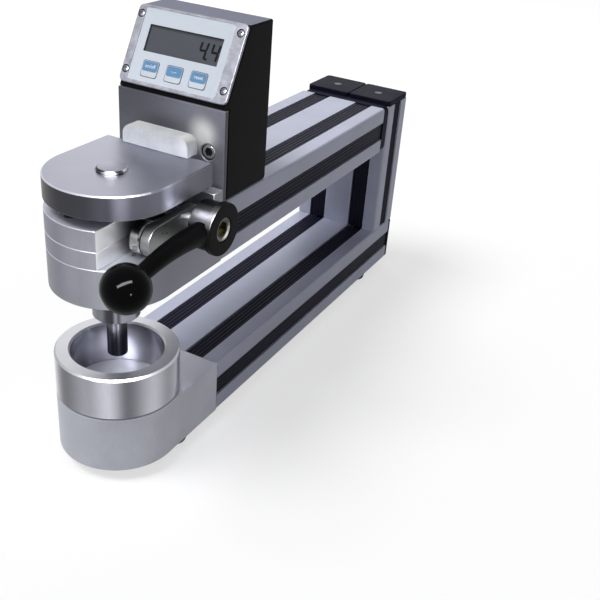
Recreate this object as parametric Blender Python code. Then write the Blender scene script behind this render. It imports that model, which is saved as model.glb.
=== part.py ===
# Stiffness gauge for garment cloth: a C-shaped stand of extruded section, a guided weight and
# plunger over a measuring cylinder, a lifting lever with crank and roller, and a depth display.
#
# Metres, +Z up. The front, with the plunger, looks along -Y and the lever is on the +X side.
# The origin is on the plunger's axis, on the underside of the base nose.

import math

import bmesh
import bpy
from mathutils import Matrix, Vector

for leftover in list(bpy.data.objects):
    bpy.data.objects.remove(leftover, do_unlink=True)

# General
GAP = 0.0003                      # between pieces that touch
OVERRUN = 0.002                   # how far a cutter runs past what it cuts
MERGE_DISTANCE = 0.000001
EMBED = 0.0005                    # how far a shape sinks into the one that it is fused to
ROUND_SIDES = 24
SMALL_SIDES = 12
ROLLER_SIDES = 28
CYLINDER_SIDES = 36
CORNER_STEPS = 3
BLOCK_STEPS = 7
DOME_STEPS = 4
NOSE_STEPS = 24
SHARP_ANGLE = math.radians(32)
BEVEL_ANGLE = math.radians(30)

# Stand
SECTION_WIDTH = 0.080
SECTION_HEIGHT = 0.040
SECTION_CORNER = 0.002
CHANNEL_WIDTH = 0.0152
CHANNEL_DEPTH = 0.0032
SLOT_WIDTH = 0.0082
LIP_DEPTH = 0.0055
CHAMBER_WIDTH = 0.014
CHAMBER_DEPTH = 0.010
CORE_BORE = 0.008
REACH = 0.3228                    # plunger's axis to the upright's front face
THROAT_HEIGHT = 0.080             # base to the arm's underside
HEAD_REAR = 0.0578                # plunger's axis to the seam behind head and nose
UPRIGHT_DROP = 0.0015             # upright's top below the arm's top
ARM_PLATE_THICKNESS = 0.0097
ARM_PLATE_CORNER = 0.005
CAP_THICKNESS = 0.0045
CAP_BEVEL = 0.0012
CAP_DIMPLE = 0.004
CAP_DIMPLE_DEPTH = 0.001
FOOT_DIAMETER = 0.022
FOOT_HEIGHT = 0.008
FOOT_TAPER = 0.0015
FOOT_INSET = 0.014                # foot's centre in from the base's side
FOOT_BAR_WIDTH = 0.010            # rubber bar that carries a pair of feet
FOOT_BAR_THICKNESS = 0.003
FRONT_FOOT_Y = 0.024
REAR_FOOT_INSET = 0.004           # rear feet's centres ahead of the upright's front face

# Cover strips
STRIP_THICKNESS = 0.0019
STRIP_STEM_LENGTH = 0.0018
STRIP_RIB_COUNT = 5
STRIP_RIB_DEPTH = 0.0004

# Measuring cylinder
CYLINDER_BORE = 0.060
CYLINDER_HEIGHT = 0.030
CYLINDER_EDGE = 0.0012
CYLINDER_STUD_COUNT = 4
CYLINDER_STUD_DIAMETER = 0.005
CYLINDER_STUD_GRIP = 0.016        # how far the studs reach down into the nose

# Screws that join the sections
JOINT_SCREW_DIAMETER = 0.0074
JOINT_HEAD_DIAMETER = 0.013
JOINT_HEAD_HEIGHT = 0.008
JOINT_HEAD_COVER = 0.008          # head's top below the face that it is sunk in
JOINT_SCREW_GRIP = 0.024
STUD_GRIP = 0.025
STRAP_COVER = 0.005               # strap of the upright's bolts above the base's underside
STRAP_THICKNESS = 0.006
HEX_SHARE = 0.62                  # hexagon socket's width as a share of its screw head
HEX_DEPTH_SHARE = 0.55            # its depth as a share of the head's height

# Head
LOWER_LAYER_HEIGHT = 0.0253
SHAFT_DROP = 0.0032               # lever shaft's axis below the arm's top
HEAD_RISE = 0.010                 # head's top above the arm's top
POCKET_WALL_X = 0.017
POCKET_REAR_Y = 0.0478
HEAD_EDGE = 0.0005
ROLLER_RELIEF_DEPTH = 0.0012      # shallow pocket under the roller
ROLLER_RELIEF_LENGTH = 0.014
ROLLER_RELIEF_MARGIN = 0.001
GUIDE_BORE = 0.0136
GUIDE_DIAMETER = 0.020
COLLAR_DIAMETER = 0.030
COLLAR_LENGTH = 0.025
COLLAR_EDGE = 0.0008
LAYER_SCREW_DIAMETER = 0.004
LAYER_HEAD_DIAMETER = 0.007
LAYER_HEAD_HEIGHT = 0.004
LAYER_SCREW_GRIP = 0.012
LAYER_SCREW_FRONT = (-0.008, -0.028)
LAYER_SCREW_SIDE = (-0.027, 0.016)
LAYER_SCREW_REAR_X = 0.028
PLUG_Y = 0.0028
PLUG_RISE = 0.019                 # plug's axis above the arm's underside
PLUG_HEAD_DIAMETER = 0.020
PLUG_HEAD_HEIGHT = 0.005
PLUG_SHANK_DIAMETER = 0.008

# Weight and plunger
PLUNGER_DIAMETER = 0.013
PLUNGER_TIP_EDGE = 0.0006
SHOWN_DEPTH = 0.0044              # tip below the cylinder's rim at rest
WEIGHT_THICKNESS = 0.015
WEIGHT_CLEARANCE = 0.0062         # weight plate above the head at rest
WEIGHT_REAR_Y = 0.0458
WEIGHT_EDGE = 0.0009
SPIGOT_DIAMETER = 0.010
SPIGOT_LENGTH = 0.006
DOME_DIAMETER = 0.017
DOME_HEIGHT = 0.0026
BLOCK_WIDTH = 0.049
BLOCK_DEPTH = 0.011
BLOCK_HEIGHT = 0.012
BLOCK_CORNER = 0.0065
BLOCK_EDGE = 0.0006
BLOCK_OVERHANG = 0.006            # block's back behind the weight plate's rear edge
LIFT_TRAVEL = 0.0162
SENSOR_ARM_WIDTH = 0.012
SENSOR_ARM_HEIGHT = 0.0065
SENSOR_ARM_END_Y = 0.0718
SCALE_WIDTH = 0.008
SCALE_THICKNESS = 0.0015
SCALE_HEIGHT = 0.024

# Lever, crank and roller
CRANK_LENGTH = 0.0353
CRANK_DROOP = math.radians(1.46)
HUB_Y = 0.0328
CRANK_THICKNESS = 0.0064
CRANK_RADIUS = 0.010
CRANK_X = 0.0286                  # crank's inner face
CRANK_EDGE = 0.0006
ROLLER_DIAMETER = 0.022
ROLLER_WIDTH = 0.007
ROLLER_EDGE = 0.0006
PIN_DIAMETER = 0.008
PIN_HEAD_DIAMETER = 0.011
PIN_HEAD_THICKNESS = 0.0014
LEVER_SHAFT_DIAMETER = 0.012
LEVER_SHAFT_INNER_X = -0.0335
SHAFT_BUSH_WALL = 0.002
HUB_INNER_X = 0.0408
HUB_OUTER_X = 0.0573
HUB_DIAMETER = 0.031
FLANGE_DIAMETER = 0.0336
FLANGE_THICKNESS = 0.0043
HUB_EDGE = 0.0009
HUB_SCREW_DIAMETER = 0.0154
HUB_SCREW_LENGTH = 0.0055
HUB_SCREW_EDGE = 0.0007
HUB_HEX_DEPTH = 0.0042
BALL_DIAMETER = 0.028
BALL_X = 0.054
BALL_Y = -0.0573
BALL_RISE = -0.0012               # ball's centre above the hub's axis
BALL_FLAT_DIAMETER = 0.011
ROD_ROOT_DIAMETER = 0.0152
ROD_NECK_DIAMETER = 0.0088
ROD_BOW = 0.0038                  # how far the rod bends up between hub and ball
ROD_TAPER = 0.8                   # below one, the rod slims sooner
ROD_STEPS = 8
ROD_SIDES = 14

# Display housing
HOUSING_FRONT_Y = 0.0598
HOUSING_BACK_Y = 0.113
HOUSING_WIDTH = 0.0805
HOUSING_SHIFT = -0.0018           # housing's middle from the plunger's axis
HOUSING_WALL = 0.005
HOUSING_SIDE = 0.0066             # side walls, which hold the display's screws
HOUSING_EDGE = 0.0008
HOUSING_LIP = 0.0006              # shell's lip over the front plate, behind the plate's face
FRONT_PLATE_THICKNESS = 0.004
FRONT_PLATE_HEIGHT = 0.0588
FRONT_PLATE_EDGE = 0.0005
PLATE_SCREW_INSET = 0.01145       # screws' centres in from the plate's sides
PLATE_SCREW_RISE = 0.031
PLATE_SCREW_DIAMETER = 0.005
PLATE_HEAD_DIAMETER = 0.0095
PLATE_HEAD_SUNK = 0.0028
PLATE_HEAD_HEIGHT = 0.0022
PLATE_BOSS_WIDTH = 0.0125
PLATE_BOSS_HEIGHT = 0.012
PLATE_BOSS_DEPTH = 0.012
FRONT_RAIL_HEIGHT = 0.009
DISPLAY_TILT = math.radians(29.05)
DISPLAY_FOOT_RISE = 0.063         # display frame's lower edge above the arm's top
DISPLAY_FOOT_Y = 0.0598
FLOOR_SCREW_DIAMETER = 0.005
FLOOR_SCREW_FRONT = 0.016         # screw rows behind the housing's front and before its back
FLOOR_SCREW_BACK = 0.014
CLAMP_THICKNESS = 0.003
CLAMP_MARGIN = 0.006
SLOT_BAR_THICKNESS = 0.0036

# Display unit: x across, s up the slope, n out of it
FRAME_SETBACK = 0.0002            # frame's sides inside the housing's
FRAME_HEIGHT = 0.0502
FRAME_THICKNESS = 0.0022
FRAME_CORNER = 0.0035
FRAME_EDGE = 0.0004
SKIRT_WALL = 0.0015
SKIRT_DEPTH = 0.010
SKIRT_INSET = 0.0031              # skirt in from the frame's lower and upper edges
FOIL_INSET_LEFT = 0.00585         # foil's edges in from the frame's
FOIL_INSET_RIGHT = 0.00855
FOIL_INSET_LOW = 0.0024
FOIL_INSET_HIGH = 0.0017
FOIL_CORNER = 0.003
FOIL_THICKNESS = 0.0005
FOIL_SUNK = 0.0003
LEDGE = 0.002                     # frame's ledge under the foil's edge
SCREEN_INSET_LEFT = 0.006         # screen's edges in from the foil's
SCREEN_INSET_RIGHT = 0.00525
SCREEN_INSET_HIGH = 0.010
SCREEN_KEY_SPACE = 0.00555        # between the screen's lower edge and the keys
SCREEN_CORNER = 0.001
SCREEN_MARGIN = 0.0018
SCREEN_THICKNESS = 0.0024
KEY_WIDTH = 0.0116
KEY_HEIGHT = 0.0099
KEY_CORNER = 0.0015
KEY_PITCH = 0.018
KEY_RISE = 0.00845                # keys' centres above the foil's lower edge
KEY_PROUD = 0.0004
KEY_FLANGE = 0.0007
KEY_FLANGE_THICKNESS = 0.0004
KEY_TRAVEL = 0.0004
KEY_SLACK = 0.0002
FRAME_SCREW_INSET_LEFT = 0.0032   # screws' centres in from the frame's edges
FRAME_SCREW_INSET_RIGHT = 0.004
FRAME_SCREW_INSET_LOW = 0.0081
FRAME_SCREW_INSET_HIGH = 0.00625
FRAME_SCREW_DIAMETER = 0.0024
FRAME_SCREW_HEAD = 0.0044
FRAME_SCREW_HEAD_HEIGHT = 0.0012
FRAME_SCREW_LENGTH = 0.009
BOARD_THICKNESS = 0.0016
BOARD_CLEARANCE = 0.0012          # board's edges in from the skirt's walls
DOME_KEY_DIAMETER = 0.005

# Inside the housing
SENSOR_WIDTH = 0.014
SENSOR_HEIGHT = 0.018
SENSOR_RISE = 0.020
SENSOR_SLACK = 0.0015
BATTERY_DIAMETER = 0.0142
BATTERY_LENGTH = 0.0495
BATTERY_TIP_DIAMETER = 0.0055
BATTERY_TIP_LENGTH = 0.001
BATTERY_DROP = 0.0275             # battery's axis below the housing's top
BAY_WALL = 0.0016
BAY_SLACK = 0.0004
LEAD_DIAMETER = 0.002
LEAD_X = 0.004
LEAD_Y = 0.080
LEAD_END_CLEARANCE = 0.0026       # lead's end below the board's back

# Derived places
half_width = SECTION_WIDTH / 2
half_height = SECTION_HEIGHT / 2
quarter_width = SECTION_WIDTH / 4
base_axis_z = half_height
arm_underside = SECTION_HEIGHT + THROAT_HEIGHT
arm_axis_z = arm_underside + half_height
arm_top = arm_underside + SECTION_HEIGHT
upright_axis_y = REACH + half_height
upright_top = arm_top - UPRIGHT_DROP
cylinder_top = SECTION_HEIGHT + GAP + CYLINDER_HEIGHT
lower_layer_top = arm_underside + LOWER_LAYER_HEIGHT
shaft_z = arm_top - SHAFT_DROP
head_top = arm_top + HEAD_RISE
weight_bottom = head_top + WEIGHT_CLEARANCE
weight_top = weight_bottom + WEIGHT_THICKNESS
tip_z = cylinder_top - SHOWN_DEPTH
joint_bore = JOINT_SCREW_DIAMETER + 2 * GAP
joint_head_bore = JOINT_HEAD_DIAMETER + 2 * GAP
shaft_bush_diameter = LEVER_SHAFT_DIAMETER + 2 * (GAP + SHAFT_BUSH_WALL)
roller_x = CRANK_X - GAP - ROLLER_WIDTH
housing_left = HOUSING_SHIFT - HOUSING_WIDTH / 2
housing_right = HOUSING_SHIFT + HOUSING_WIDTH / 2
frame_half = HOUSING_WIDTH / 2 - FRAME_SETBACK
skirt_half = HOUSING_WIDTH / 2 - HOUSING_SIDE - GAP
skirt_low = SKIRT_INSET
skirt_high = FRAME_HEIGHT - SKIRT_INSET
foil_left = FOIL_INSET_LEFT - frame_half
foil_right = frame_half - FOIL_INSET_RIGHT
foil_low = FOIL_INSET_LOW
foil_high = FRAME_HEIGHT - FOIL_INSET_HIGH
screen_left = foil_left + SCREEN_INSET_LEFT
screen_right = foil_right - SCREEN_INSET_RIGHT
key_middle_x = (foil_left + foil_right) / 2
key_centre_s = foil_low + KEY_RISE
screen_high = foil_high - SCREEN_INSET_HIGH
screen_low = key_centre_s + KEY_HEIGHT / 2 + SCREEN_KEY_SPACE
foil_back_n = -FOIL_SUNK - FOIL_THICKNESS
screen_front_n = foil_back_n - GAP
board_front_n = screen_front_n - SCREEN_THICKNESS - GAP
key_back_n = foil_back_n - KEY_SLACK - KEY_FLANGE_THICKNESS

# Colour, roughness and metallic value of each finish
FINISHES = {
    "drawn aluminium": ((0.60, 0.61, 0.66), 0.38, 0.9),
    "milled aluminium": ((0.66, 0.67, 0.71), 0.36, 0.9),
    "brushed steel": ((0.45, 0.45, 0.51), 0.30, 1.0),
    "polished steel": ((0.62, 0.62, 0.64), 0.16, 1.0),
    "dark steel": ((0.10, 0.10, 0.11), 0.35, 0.9),
    "black zinc": ((0.03, 0.03, 0.033), 0.45, 0.3),
    "gloss black": ((0.008, 0.008, 0.009), 0.08, 0.0),
    "strip plastic": ((0.012, 0.012, 0.016), 0.50, 0.0),
    "cap plastic": ((0.020, 0.020, 0.022), 0.42, 0.0),
    "housing black": ((0.006, 0.006, 0.007), 0.35, 0.0),
    "grey plate": ((0.10, 0.10, 0.115), 0.32, 0.7),
    "white plastic": ((0.78, 0.79, 0.77), 0.45, 0.0),
    "cast silver": ((0.55, 0.55, 0.60), 0.42, 0.8),
    "pale foil": ((0.80, 0.86, 0.93), 0.35, 0.0),
    "blue key": ((0.16, 0.42, 0.66), 0.35, 0.0),
    "screen glass": ((0.09, 0.10, 0.11), 0.12, 0.0),
    "board green": ((0.02, 0.14, 0.06), 0.45, 0.0),
    "battery steel": ((0.30, 0.30, 0.33), 0.30, 0.8),
    "rubber": ((0.02, 0.02, 0.02), 0.80, 0.0),
    "brass": ((0.62, 0.45, 0.18), 0.28, 1.0),
}


# Shape helpers

def arc(centre, radius, first, last, steps):
    """Points on an arc from one angle to another, in degrees."""
    points = []
    for step in range(steps + 1):
        angle = math.radians(first + (last - first) * step / steps)
        points.append((centre[0] + radius * math.cos(angle), centre[1] + radius * math.sin(angle)))
    return points


def rounded_rectangle(left, right, low, high, radius, steps=CORNER_STEPS):
    points = arc((right - radius, low + radius), radius, -90, 0, steps)
    points += arc((right - radius, high - radius), radius, 0, 90, steps)
    points += arc((left + radius, high - radius), radius, 90, 180, steps)
    points += arc((left + radius, low + radius), radius, 180, 270, steps)
    return points


def nose_outline(radius, rear):
    """Half-round front with straight sides back to a square rear edge."""
    return arc((0, 0), radius, 180, 360, NOSE_STEPS) + [(radius, rear), (-radius, rear)]


def prism(outline, start, end, axis="Z"):
    """Outline pairs are (Y, Z) along X, (X, Z) along Y and (X, Y) along Z."""
    orders = {
        "X": lambda u, v, w: (w, u, v),
        "Y": lambda u, v, w: (u, w, v),
        "Z": lambda u, v, w: (u, v, w),
    }
    order = orders[axis]
    shape = bmesh.new()
    corners = [shape.verts.new(order(u, v, start)) for u, v in outline]
    face = shape.faces.new(corners)
    grown = bmesh.ops.extrude_face_region(shape, geom=[face])
    moved = [item for item in grown["geom"] if isinstance(item, bmesh.types.BMVert)]
    bmesh.ops.translate(shape, verts=moved, vec=Vector(order(0, 0, end - start)))
    bmesh.ops.recalc_face_normals(shape, faces=shape.faces)
    return shape


def box(low, high):
    outline = [(low[0], low[1]), (high[0], low[1]), (high[0], high[1]), (low[0], high[1])]
    return prism(outline, low[2], high[2])


def turned(profile, sides=ROUND_SIDES, axis="Z", closed=False):
    """Turns (radius, height) pairs about the axis; closed joins the last pair to the first."""
    shape = bmesh.new()
    corners = [shape.verts.new((radius, 0, height)) for radius, height in profile]
    ends = list(zip(corners, corners[1:]))
    if closed:
        ends.append((corners[-1], corners[0]))
    edges = [shape.edges.new(pair) for pair in ends]
    bmesh.ops.spin(shape, geom=corners + edges, cent=(0, 0, 0), axis=(0, 0, 1),
                   angle=2 * math.pi, steps=sides, use_merge=True)
    bmesh.ops.remove_doubles(shape, verts=shape.verts, dist=MERGE_DISTANCE)
    bmesh.ops.recalc_face_normals(shape, faces=shape.faces)
    turn_to_axis(shape, axis)
    return shape


def turn_to_axis(shape, axis):
    turns = {
        "X": Matrix.Rotation(math.pi / 2, 4, "Y"),
        "Y": Matrix.Rotation(-math.pi / 2, 4, "X"),
        "Z": Matrix.Identity(4),
    }
    bmesh.ops.transform(shape, matrix=turns[axis], verts=shape.verts)


def rod(diameter, start, end, sides=SMALL_SIDES, axis="Z", edge=0):
    """A plain cylinder along the axis, with chamfered ends where an edge is given."""
    radius = diameter / 2
    if edge:
        profile = [(0, start), (radius - edge, start), (radius, start + edge),
                   (radius, end - edge), (radius - edge, end), (0, end)]
    else:
        profile = [(0, start), (radius, start), (radius, end), (0, end)]
    return turned(profile, sides, axis)


def ring(outer, inner, start, end, sides=ROUND_SIDES, axis="Z", edge=0):
    """A tube of two diameters along the axis, its four rims chamfered by the edge."""
    big = outer / 2
    small = inner / 2
    if edge:
        profile = [(small, start + edge), (small + edge, start), (big - edge, start),
                   (big, start + edge), (big, end - edge), (big - edge, end),
                   (small + edge, end), (small, end - edge)]
    else:
        profile = [(small, start), (big, start), (big, end), (small, end)]
    return turned(profile, sides, axis, closed=True)


def dome_profile(radius, base, height):
    """Radius and height pairs of a dome from just above its base to its top on the axis."""
    points = []
    for step in range(1, DOME_STEPS):
        angle = math.pi / 2 * step / DOME_STEPS
        points.append((radius * math.cos(angle), base + height * math.sin(angle)))
    return points + [(0, base + height)]


def hexagon_cutter(width, start, end, axis="Z"):
    corner = width / math.sqrt(3)
    outline = [(corner * math.cos(math.radians(60 * step)), corner * math.sin(math.radians(60 * step)))
               for step in range(6)]
    shape = prism(outline, start, end)
    turn_to_axis(shape, axis)
    return shape


def moved(shape, offset):
    bmesh.ops.translate(shape, verts=shape.verts, vec=Vector(offset))
    return shape


def rotated(shape, angle, axis):
    bmesh.ops.transform(shape, matrix=Matrix.Rotation(angle, 4, axis), verts=shape.verts)
    return shape


def soft_edged(shape, width, segments=1):
    """Bevels every edge that is sharper than the bevel angle."""
    edges = [edge for edge in shape.edges if edge.calc_face_angle(0) > BEVEL_ANGLE]
    bmesh.ops.bevel(shape, geom=edges, offset=width, segments=segments, affect="EDGES", profile=0.5,
                    clamp_overlap=True)
    return shape


def combined(shape, tools, operation):
    """The shape after an exact Boolean with each tool in turn."""
    helpers = []
    for tool in [shape] + tools:
        mesh = bpy.data.meshes.new("helper")
        tool.to_mesh(mesh)
        tool.free()
        helper = bpy.data.objects.new("helper", mesh)
        bpy.context.scene.collection.objects.link(helper)
        helper.hide_render = True
        helper.display_type = "WIRE"
        helpers.append(helper)
    target = helpers[0]
    for helper in helpers[1:]:
        step = target.modifiers.new("step", "BOOLEAN")
        step.operation = operation
        step.solver = "EXACT"
        step.object = helper
    evaluated = target.evaluated_get(bpy.context.evaluated_depsgraph_get())
    result = bmesh.new()
    result.from_mesh(evaluated.data)
    bmesh.ops.remove_doubles(result, verts=result.verts, dist=MERGE_DISTANCE)
    for helper in helpers:
        bpy.data.objects.remove(helper, do_unlink=True)
    return result


def cut(shape, *tools):
    return combined(shape, list(tools), "DIFFERENCE")


def fused(shape, *others):
    return combined(shape, list(others), "UNION")


def anchor(name, location, rotation=(0, 0, 0), parent=None):
    """An empty that carries a group of pieces, on their joint's axis where they move."""
    empty = bpy.data.objects.new(name, None)
    bpy.context.scene.collection.objects.link(empty)
    empty.parent = parent
    empty.location = location
    empty.rotation_euler = rotation
    return empty


def piece(name, shape, finish, location=(0, 0, 0), rotation=(0, 0, 0), parent=None):
    colour, roughness, metallic = FINISHES[finish]
    material = bpy.data.materials.new(name + " " + finish)
    material.use_nodes = True
    shader = material.node_tree.nodes["Principled BSDF"]
    shader.inputs["Base Color"].default_value = (*colour, 1)
    shader.inputs["Roughness"].default_value = roughness
    shader.inputs["Metallic"].default_value = metallic
    mesh = bpy.data.meshes.new(name)
    shape.to_mesh(mesh)
    shape.free()
    mesh.materials.append(material)
    mesh.shade_smooth()
    mesh.set_sharp_from_angle(angle=SHARP_ANGLE)
    thing = bpy.data.objects.new(name, mesh)
    bpy.context.scene.collection.objects.link(thing)
    thing.parent = parent
    thing.location = location
    thing.rotation_euler = rotation
    return thing


def socket_screw(diameter, head_diameter, head_height, length, sides=SMALL_SIDES):
    """Head from zero up, shank from zero down, with a hexagon socket in the head."""
    head = rod(head_diameter, 0, head_height, sides)
    shank = rod(diameter, -length, head_height / 2, sides)
    body = fused(head, shank)
    depth = head_height * HEX_DEPTH_SHARE
    socket = hexagon_cutter(head_diameter * HEX_SHARE, head_height - depth, head_height + OVERRUN)
    return cut(body, socket)


# Extruded sections and their cover strips

def groove_points():
    """One channel with its slot and chamber, as (along the edge, depth) pairs."""
    left = [(-CHANNEL_WIDTH / 2, 0), (-CHANNEL_WIDTH / 2, CHANNEL_DEPTH),
            (-SLOT_WIDTH / 2, CHANNEL_DEPTH), (-SLOT_WIDTH / 2, LIP_DEPTH),
            (-CHAMBER_WIDTH / 2, LIP_DEPTH), (-CHAMBER_WIDTH / 2, CHAMBER_DEPTH)]
    return left + [(-along, depth) for along, depth in reversed(left)]


def section_outline():
    edge = SECTION_CORNER
    points = []
    for middle in (-quarter_width, quarter_width):
        points += [(middle + along, depth - half_height) for along, depth in groove_points()]
    points += arc((half_width - edge, edge - half_height), edge, -90, 0, CORNER_STEPS)
    points += [(half_width - depth, along) for along, depth in groove_points()]
    points += arc((half_width - edge, half_height - edge), edge, 0, 90, CORNER_STEPS)
    for middle in (quarter_width, -quarter_width):
        points += [(middle - along, half_height - depth) for along, depth in groove_points()]
    points += arc((edge - half_width, half_height - edge), edge, 90, 180, CORNER_STEPS)
    points += [(depth - half_width, -along) for along, depth in groove_points()]
    points += arc((edge - half_width, edge - half_height), edge, 180, 270, CORNER_STEPS)
    return points


def section_length(length):
    """A length of section along +Y, with its two core bores."""
    body = prism(section_outline(), 0, length, "Y")
    bores = [moved(rod(CORE_BORE, -OVERRUN, length + OVERRUN, axis="Y"), (side * quarter_width, 0, 0))
             for side in (-1, 1)]
    return cut(body, *bores)


def strip_outline():
    """Ribbed cover with a stem that clips in the slot, its underside at zero."""
    half = CHANNEL_WIDTH / 2 - GAP
    stem = SLOT_WIDTH / 2 - GAP
    pitch = 2 * half / STRIP_RIB_COUNT
    points = [(-half, 0), (-stem, 0), (-stem, -STRIP_STEM_LENGTH),
              (stem, -STRIP_STEM_LENGTH), (stem, 0), (half, 0)]
    for rib in range(STRIP_RIB_COUNT):
        start = half - rib * pitch
        points.append((start, STRIP_THICKNESS - STRIP_RIB_DEPTH))
        points.append((start - pitch / 3, STRIP_THICKNESS))
        points.append((start - 2 * pitch / 3, STRIP_THICKNESS))
    points.append((-half, STRIP_THICKNESS - STRIP_RIB_DEPTH))
    return points


def strip_places(face):
    """The (x, z, turn about Y) of a face's left and right strips, round the section's centre."""
    seat = half_height - CHANNEL_DEPTH + GAP
    side_seat = half_width - CHANNEL_DEPTH + GAP
    places = {
        "upper": [(-quarter_width, seat, 0), (quarter_width, seat, 0)],
        "under": [(-quarter_width, -seat, math.pi), (quarter_width, -seat, math.pi)],
        "side": [(-side_seat, 0, -math.pi / 2), (side_seat, 0, math.pi / 2)],
    }
    return places[face]


def make_strips(name, face, length, location, upright=False):
    """A left and a right strip that run along +Y, or up an upright section."""
    for side, (x, z, turn) in zip(("left", "right"), strip_places(face)):
        strip = rotated(prism(strip_outline(), 0, length, "Y"), turn, "Y")
        strip = moved(strip, (x, 0, z))
        if upright:
            strip = rotated(strip, math.pi / 2, "X")
        piece(name + "_strip_" + side, strip, "strip plastic", location)


# Stand

def make_base():
    start = HEAD_REAR + GAP
    rear = REACH + SECTION_HEIGHT
    length = rear - CAP_THICKNESS - GAP - start
    screw_y = upright_axis_y - start
    low = -half_height - OVERRUN
    cutters = [moved(rod(joint_bore, low, half_height + OVERRUN), (side * quarter_width, screw_y, 0))
               for side in (-1, 1)]
    strap_x = quarter_width + JOINT_HEAD_DIAMETER / 2 + GAP
    strap_y = JOINT_HEAD_DIAMETER / 2 + GAP
    strap_top = STRAP_COVER + STRAP_THICKNESS + GAP - half_height
    cutters.append(box((-strap_x, screw_y - strap_y, low), (strap_x, screw_y + strap_y, strap_top)))
    piece("base_profile", cut(section_length(length), *cutters), "drawn aluminium", (0, start, base_axis_z))
    make_strips("base_top", "upper", REACH - GAP - start, (0, start, base_axis_z))
    make_strips("base_side", "side", length, (0, start, base_axis_z))
    outline = rounded_rectangle(-half_width, half_width, -half_height, half_height, SECTION_CORNER)
    cap = soft_edged(prism(outline, 0, CAP_THICKNESS, "Y"), CAP_BEVEL)
    piece("base_end_cap", cap, "cap plastic", (0, rear - CAP_THICKNESS, base_axis_z))


def section_pins(axis_z):
    """Two pins that a head block carries, which fit the core bores of the section behind it."""
    return [moved(rod(JOINT_SCREW_DIAMETER, HEAD_REAR - EMBED, HEAD_REAR + STUD_GRIP, axis="Y"),
                  (side * quarter_width, 0, axis_z)) for side in (-1, 1)]


def cylinder_stud_places():
    ring_radius = (half_width + CYLINDER_BORE / 2) / 2
    places = []
    for step in range(CYLINDER_STUD_COUNT):
        angle = 2 * math.pi * (step + 1 / 2) / CYLINDER_STUD_COUNT
        places.append((ring_radius * math.cos(angle), ring_radius * math.sin(angle), 0))
    return places


def make_nose_and_cylinder():
    body = fused(prism(nose_outline(half_width, HEAD_REAR), 0, SECTION_HEIGHT), *section_pins(base_axis_z))
    bore = CYLINDER_STUD_DIAMETER + 2 * GAP
    floor = SECTION_HEIGHT - CYLINDER_STUD_GRIP - GAP
    holes = [moved(rod(bore, floor, SECTION_HEIGHT + OVERRUN), place) for place in cylinder_stud_places()]
    piece("base_nose", cut(body, *holes), "milled aluminium")

    wall = ring(SECTION_WIDTH, CYLINDER_BORE, 0, CYLINDER_HEIGHT, CYLINDER_SIDES, edge=CYLINDER_EDGE)
    studs = [moved(rod(CYLINDER_STUD_DIAMETER, -CYLINDER_STUD_GRIP, EMBED), place)
             for place in cylinder_stud_places()]
    piece("measuring_cylinder", fused(wall, *studs), "polished steel", (0, 0, SECTION_HEIGHT + GAP))


def make_feet():
    """Two rubber bars across the underside, each with a foot at either end."""
    side_x = half_width - FOOT_INSET
    outline = [(0, -FOOT_HEIGHT), (FOOT_DIAMETER / 2 - FOOT_TAPER, -FOOT_HEIGHT),
               (FOOT_DIAMETER / 2, -GAP), (0, -GAP)]
    for name, y in (("foot_bar_front", FRONT_FOOT_Y), ("foot_bar_rear", REACH - REAR_FOOT_INSET)):
        bar = box((-side_x, -FOOT_BAR_WIDTH / 2, -GAP - FOOT_BAR_THICKNESS),
                  (side_x, FOOT_BAR_WIDTH / 2, -GAP))
        feet = [moved(turned(outline), (side * side_x, 0, 0)) for side in (-1, 1)]
        piece(name, fused(bar, *feet), "rubber", (0, y, 0))


def make_upright():
    start = SECTION_HEIGHT + GAP
    length = upright_top - start
    body = rotated(section_length(length), math.pi / 2, "X")
    screw_z = arm_axis_z - start
    sunk = half_height - JOINT_HEAD_COVER - JOINT_HEAD_HEIGHT - GAP
    cutters = []
    for side in (-1, 1):
        hole = rod(joint_bore, -half_height - OVERRUN, half_height + OVERRUN, axis="Y")
        sink = rod(joint_head_bore, sunk, half_height + OVERRUN, axis="Y")
        cutters += [moved(hole, (side * quarter_width, 0, screw_z)),
                    moved(sink, (side * quarter_width, 0, screw_z))]
    piece("upright_profile", cut(body, *cutters), "drawn aluminium", (0, upright_axis_y, start))

    place = (0, upright_axis_y, start)
    make_strips("upright_front", "upper", arm_underside - GAP - start, place, upright=True)
    make_strips("upright_back", "under", length, place, upright=True)
    make_strips("upright_side", "side", length, place, upright=True)

    for side, name in ((-1, "upright_cap_left"), (1, "upright_cap_right")):
        half = quarter_width - GAP
        outline = rounded_rectangle(-half, half, -half_height, half_height, SECTION_CORNER)
        cap = soft_edged(prism(outline, 0, CAP_THICKNESS), CAP_BEVEL)
        dimple = rod(CAP_DIMPLE, CAP_THICKNESS - CAP_DIMPLE_DEPTH, CAP_THICKNESS + OVERRUN)
        place = (side * quarter_width, upright_axis_y, upright_top + GAP)
        piece(name, cut(cap, dimple), "cap plastic", place)


def make_arm():
    start = HEAD_REAR + GAP
    end = REACH - 2 * GAP - ARM_PLATE_THICKNESS
    length = end - start
    piece("arm_profile", section_length(length), "drawn aluminium", (0, start, arm_axis_z))
    top_start = HOUSING_BACK_Y + GAP
    make_strips("arm_top", "upper", end - top_start, (0, top_start, arm_axis_z))
    make_strips("arm_side", "side", length, (0, start, arm_axis_z))

    outline = rounded_rectangle(-half_width, half_width, -half_height, half_height, ARM_PLATE_CORNER)
    plate = prism(outline, 0, ARM_PLATE_THICKNESS, "Y")
    far = ARM_PLATE_THICKNESS + OVERRUN
    bores = [moved(rod(joint_bore, -OVERRUN, far, axis="Y"), (side * quarter_width, 0, 0)) for side in (-1, 1)]
    piece("arm_end_plate", cut(soft_edged(plate, HEAD_EDGE), *bores), "cap plastic",
          (0, end + GAP, arm_axis_z))


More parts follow.
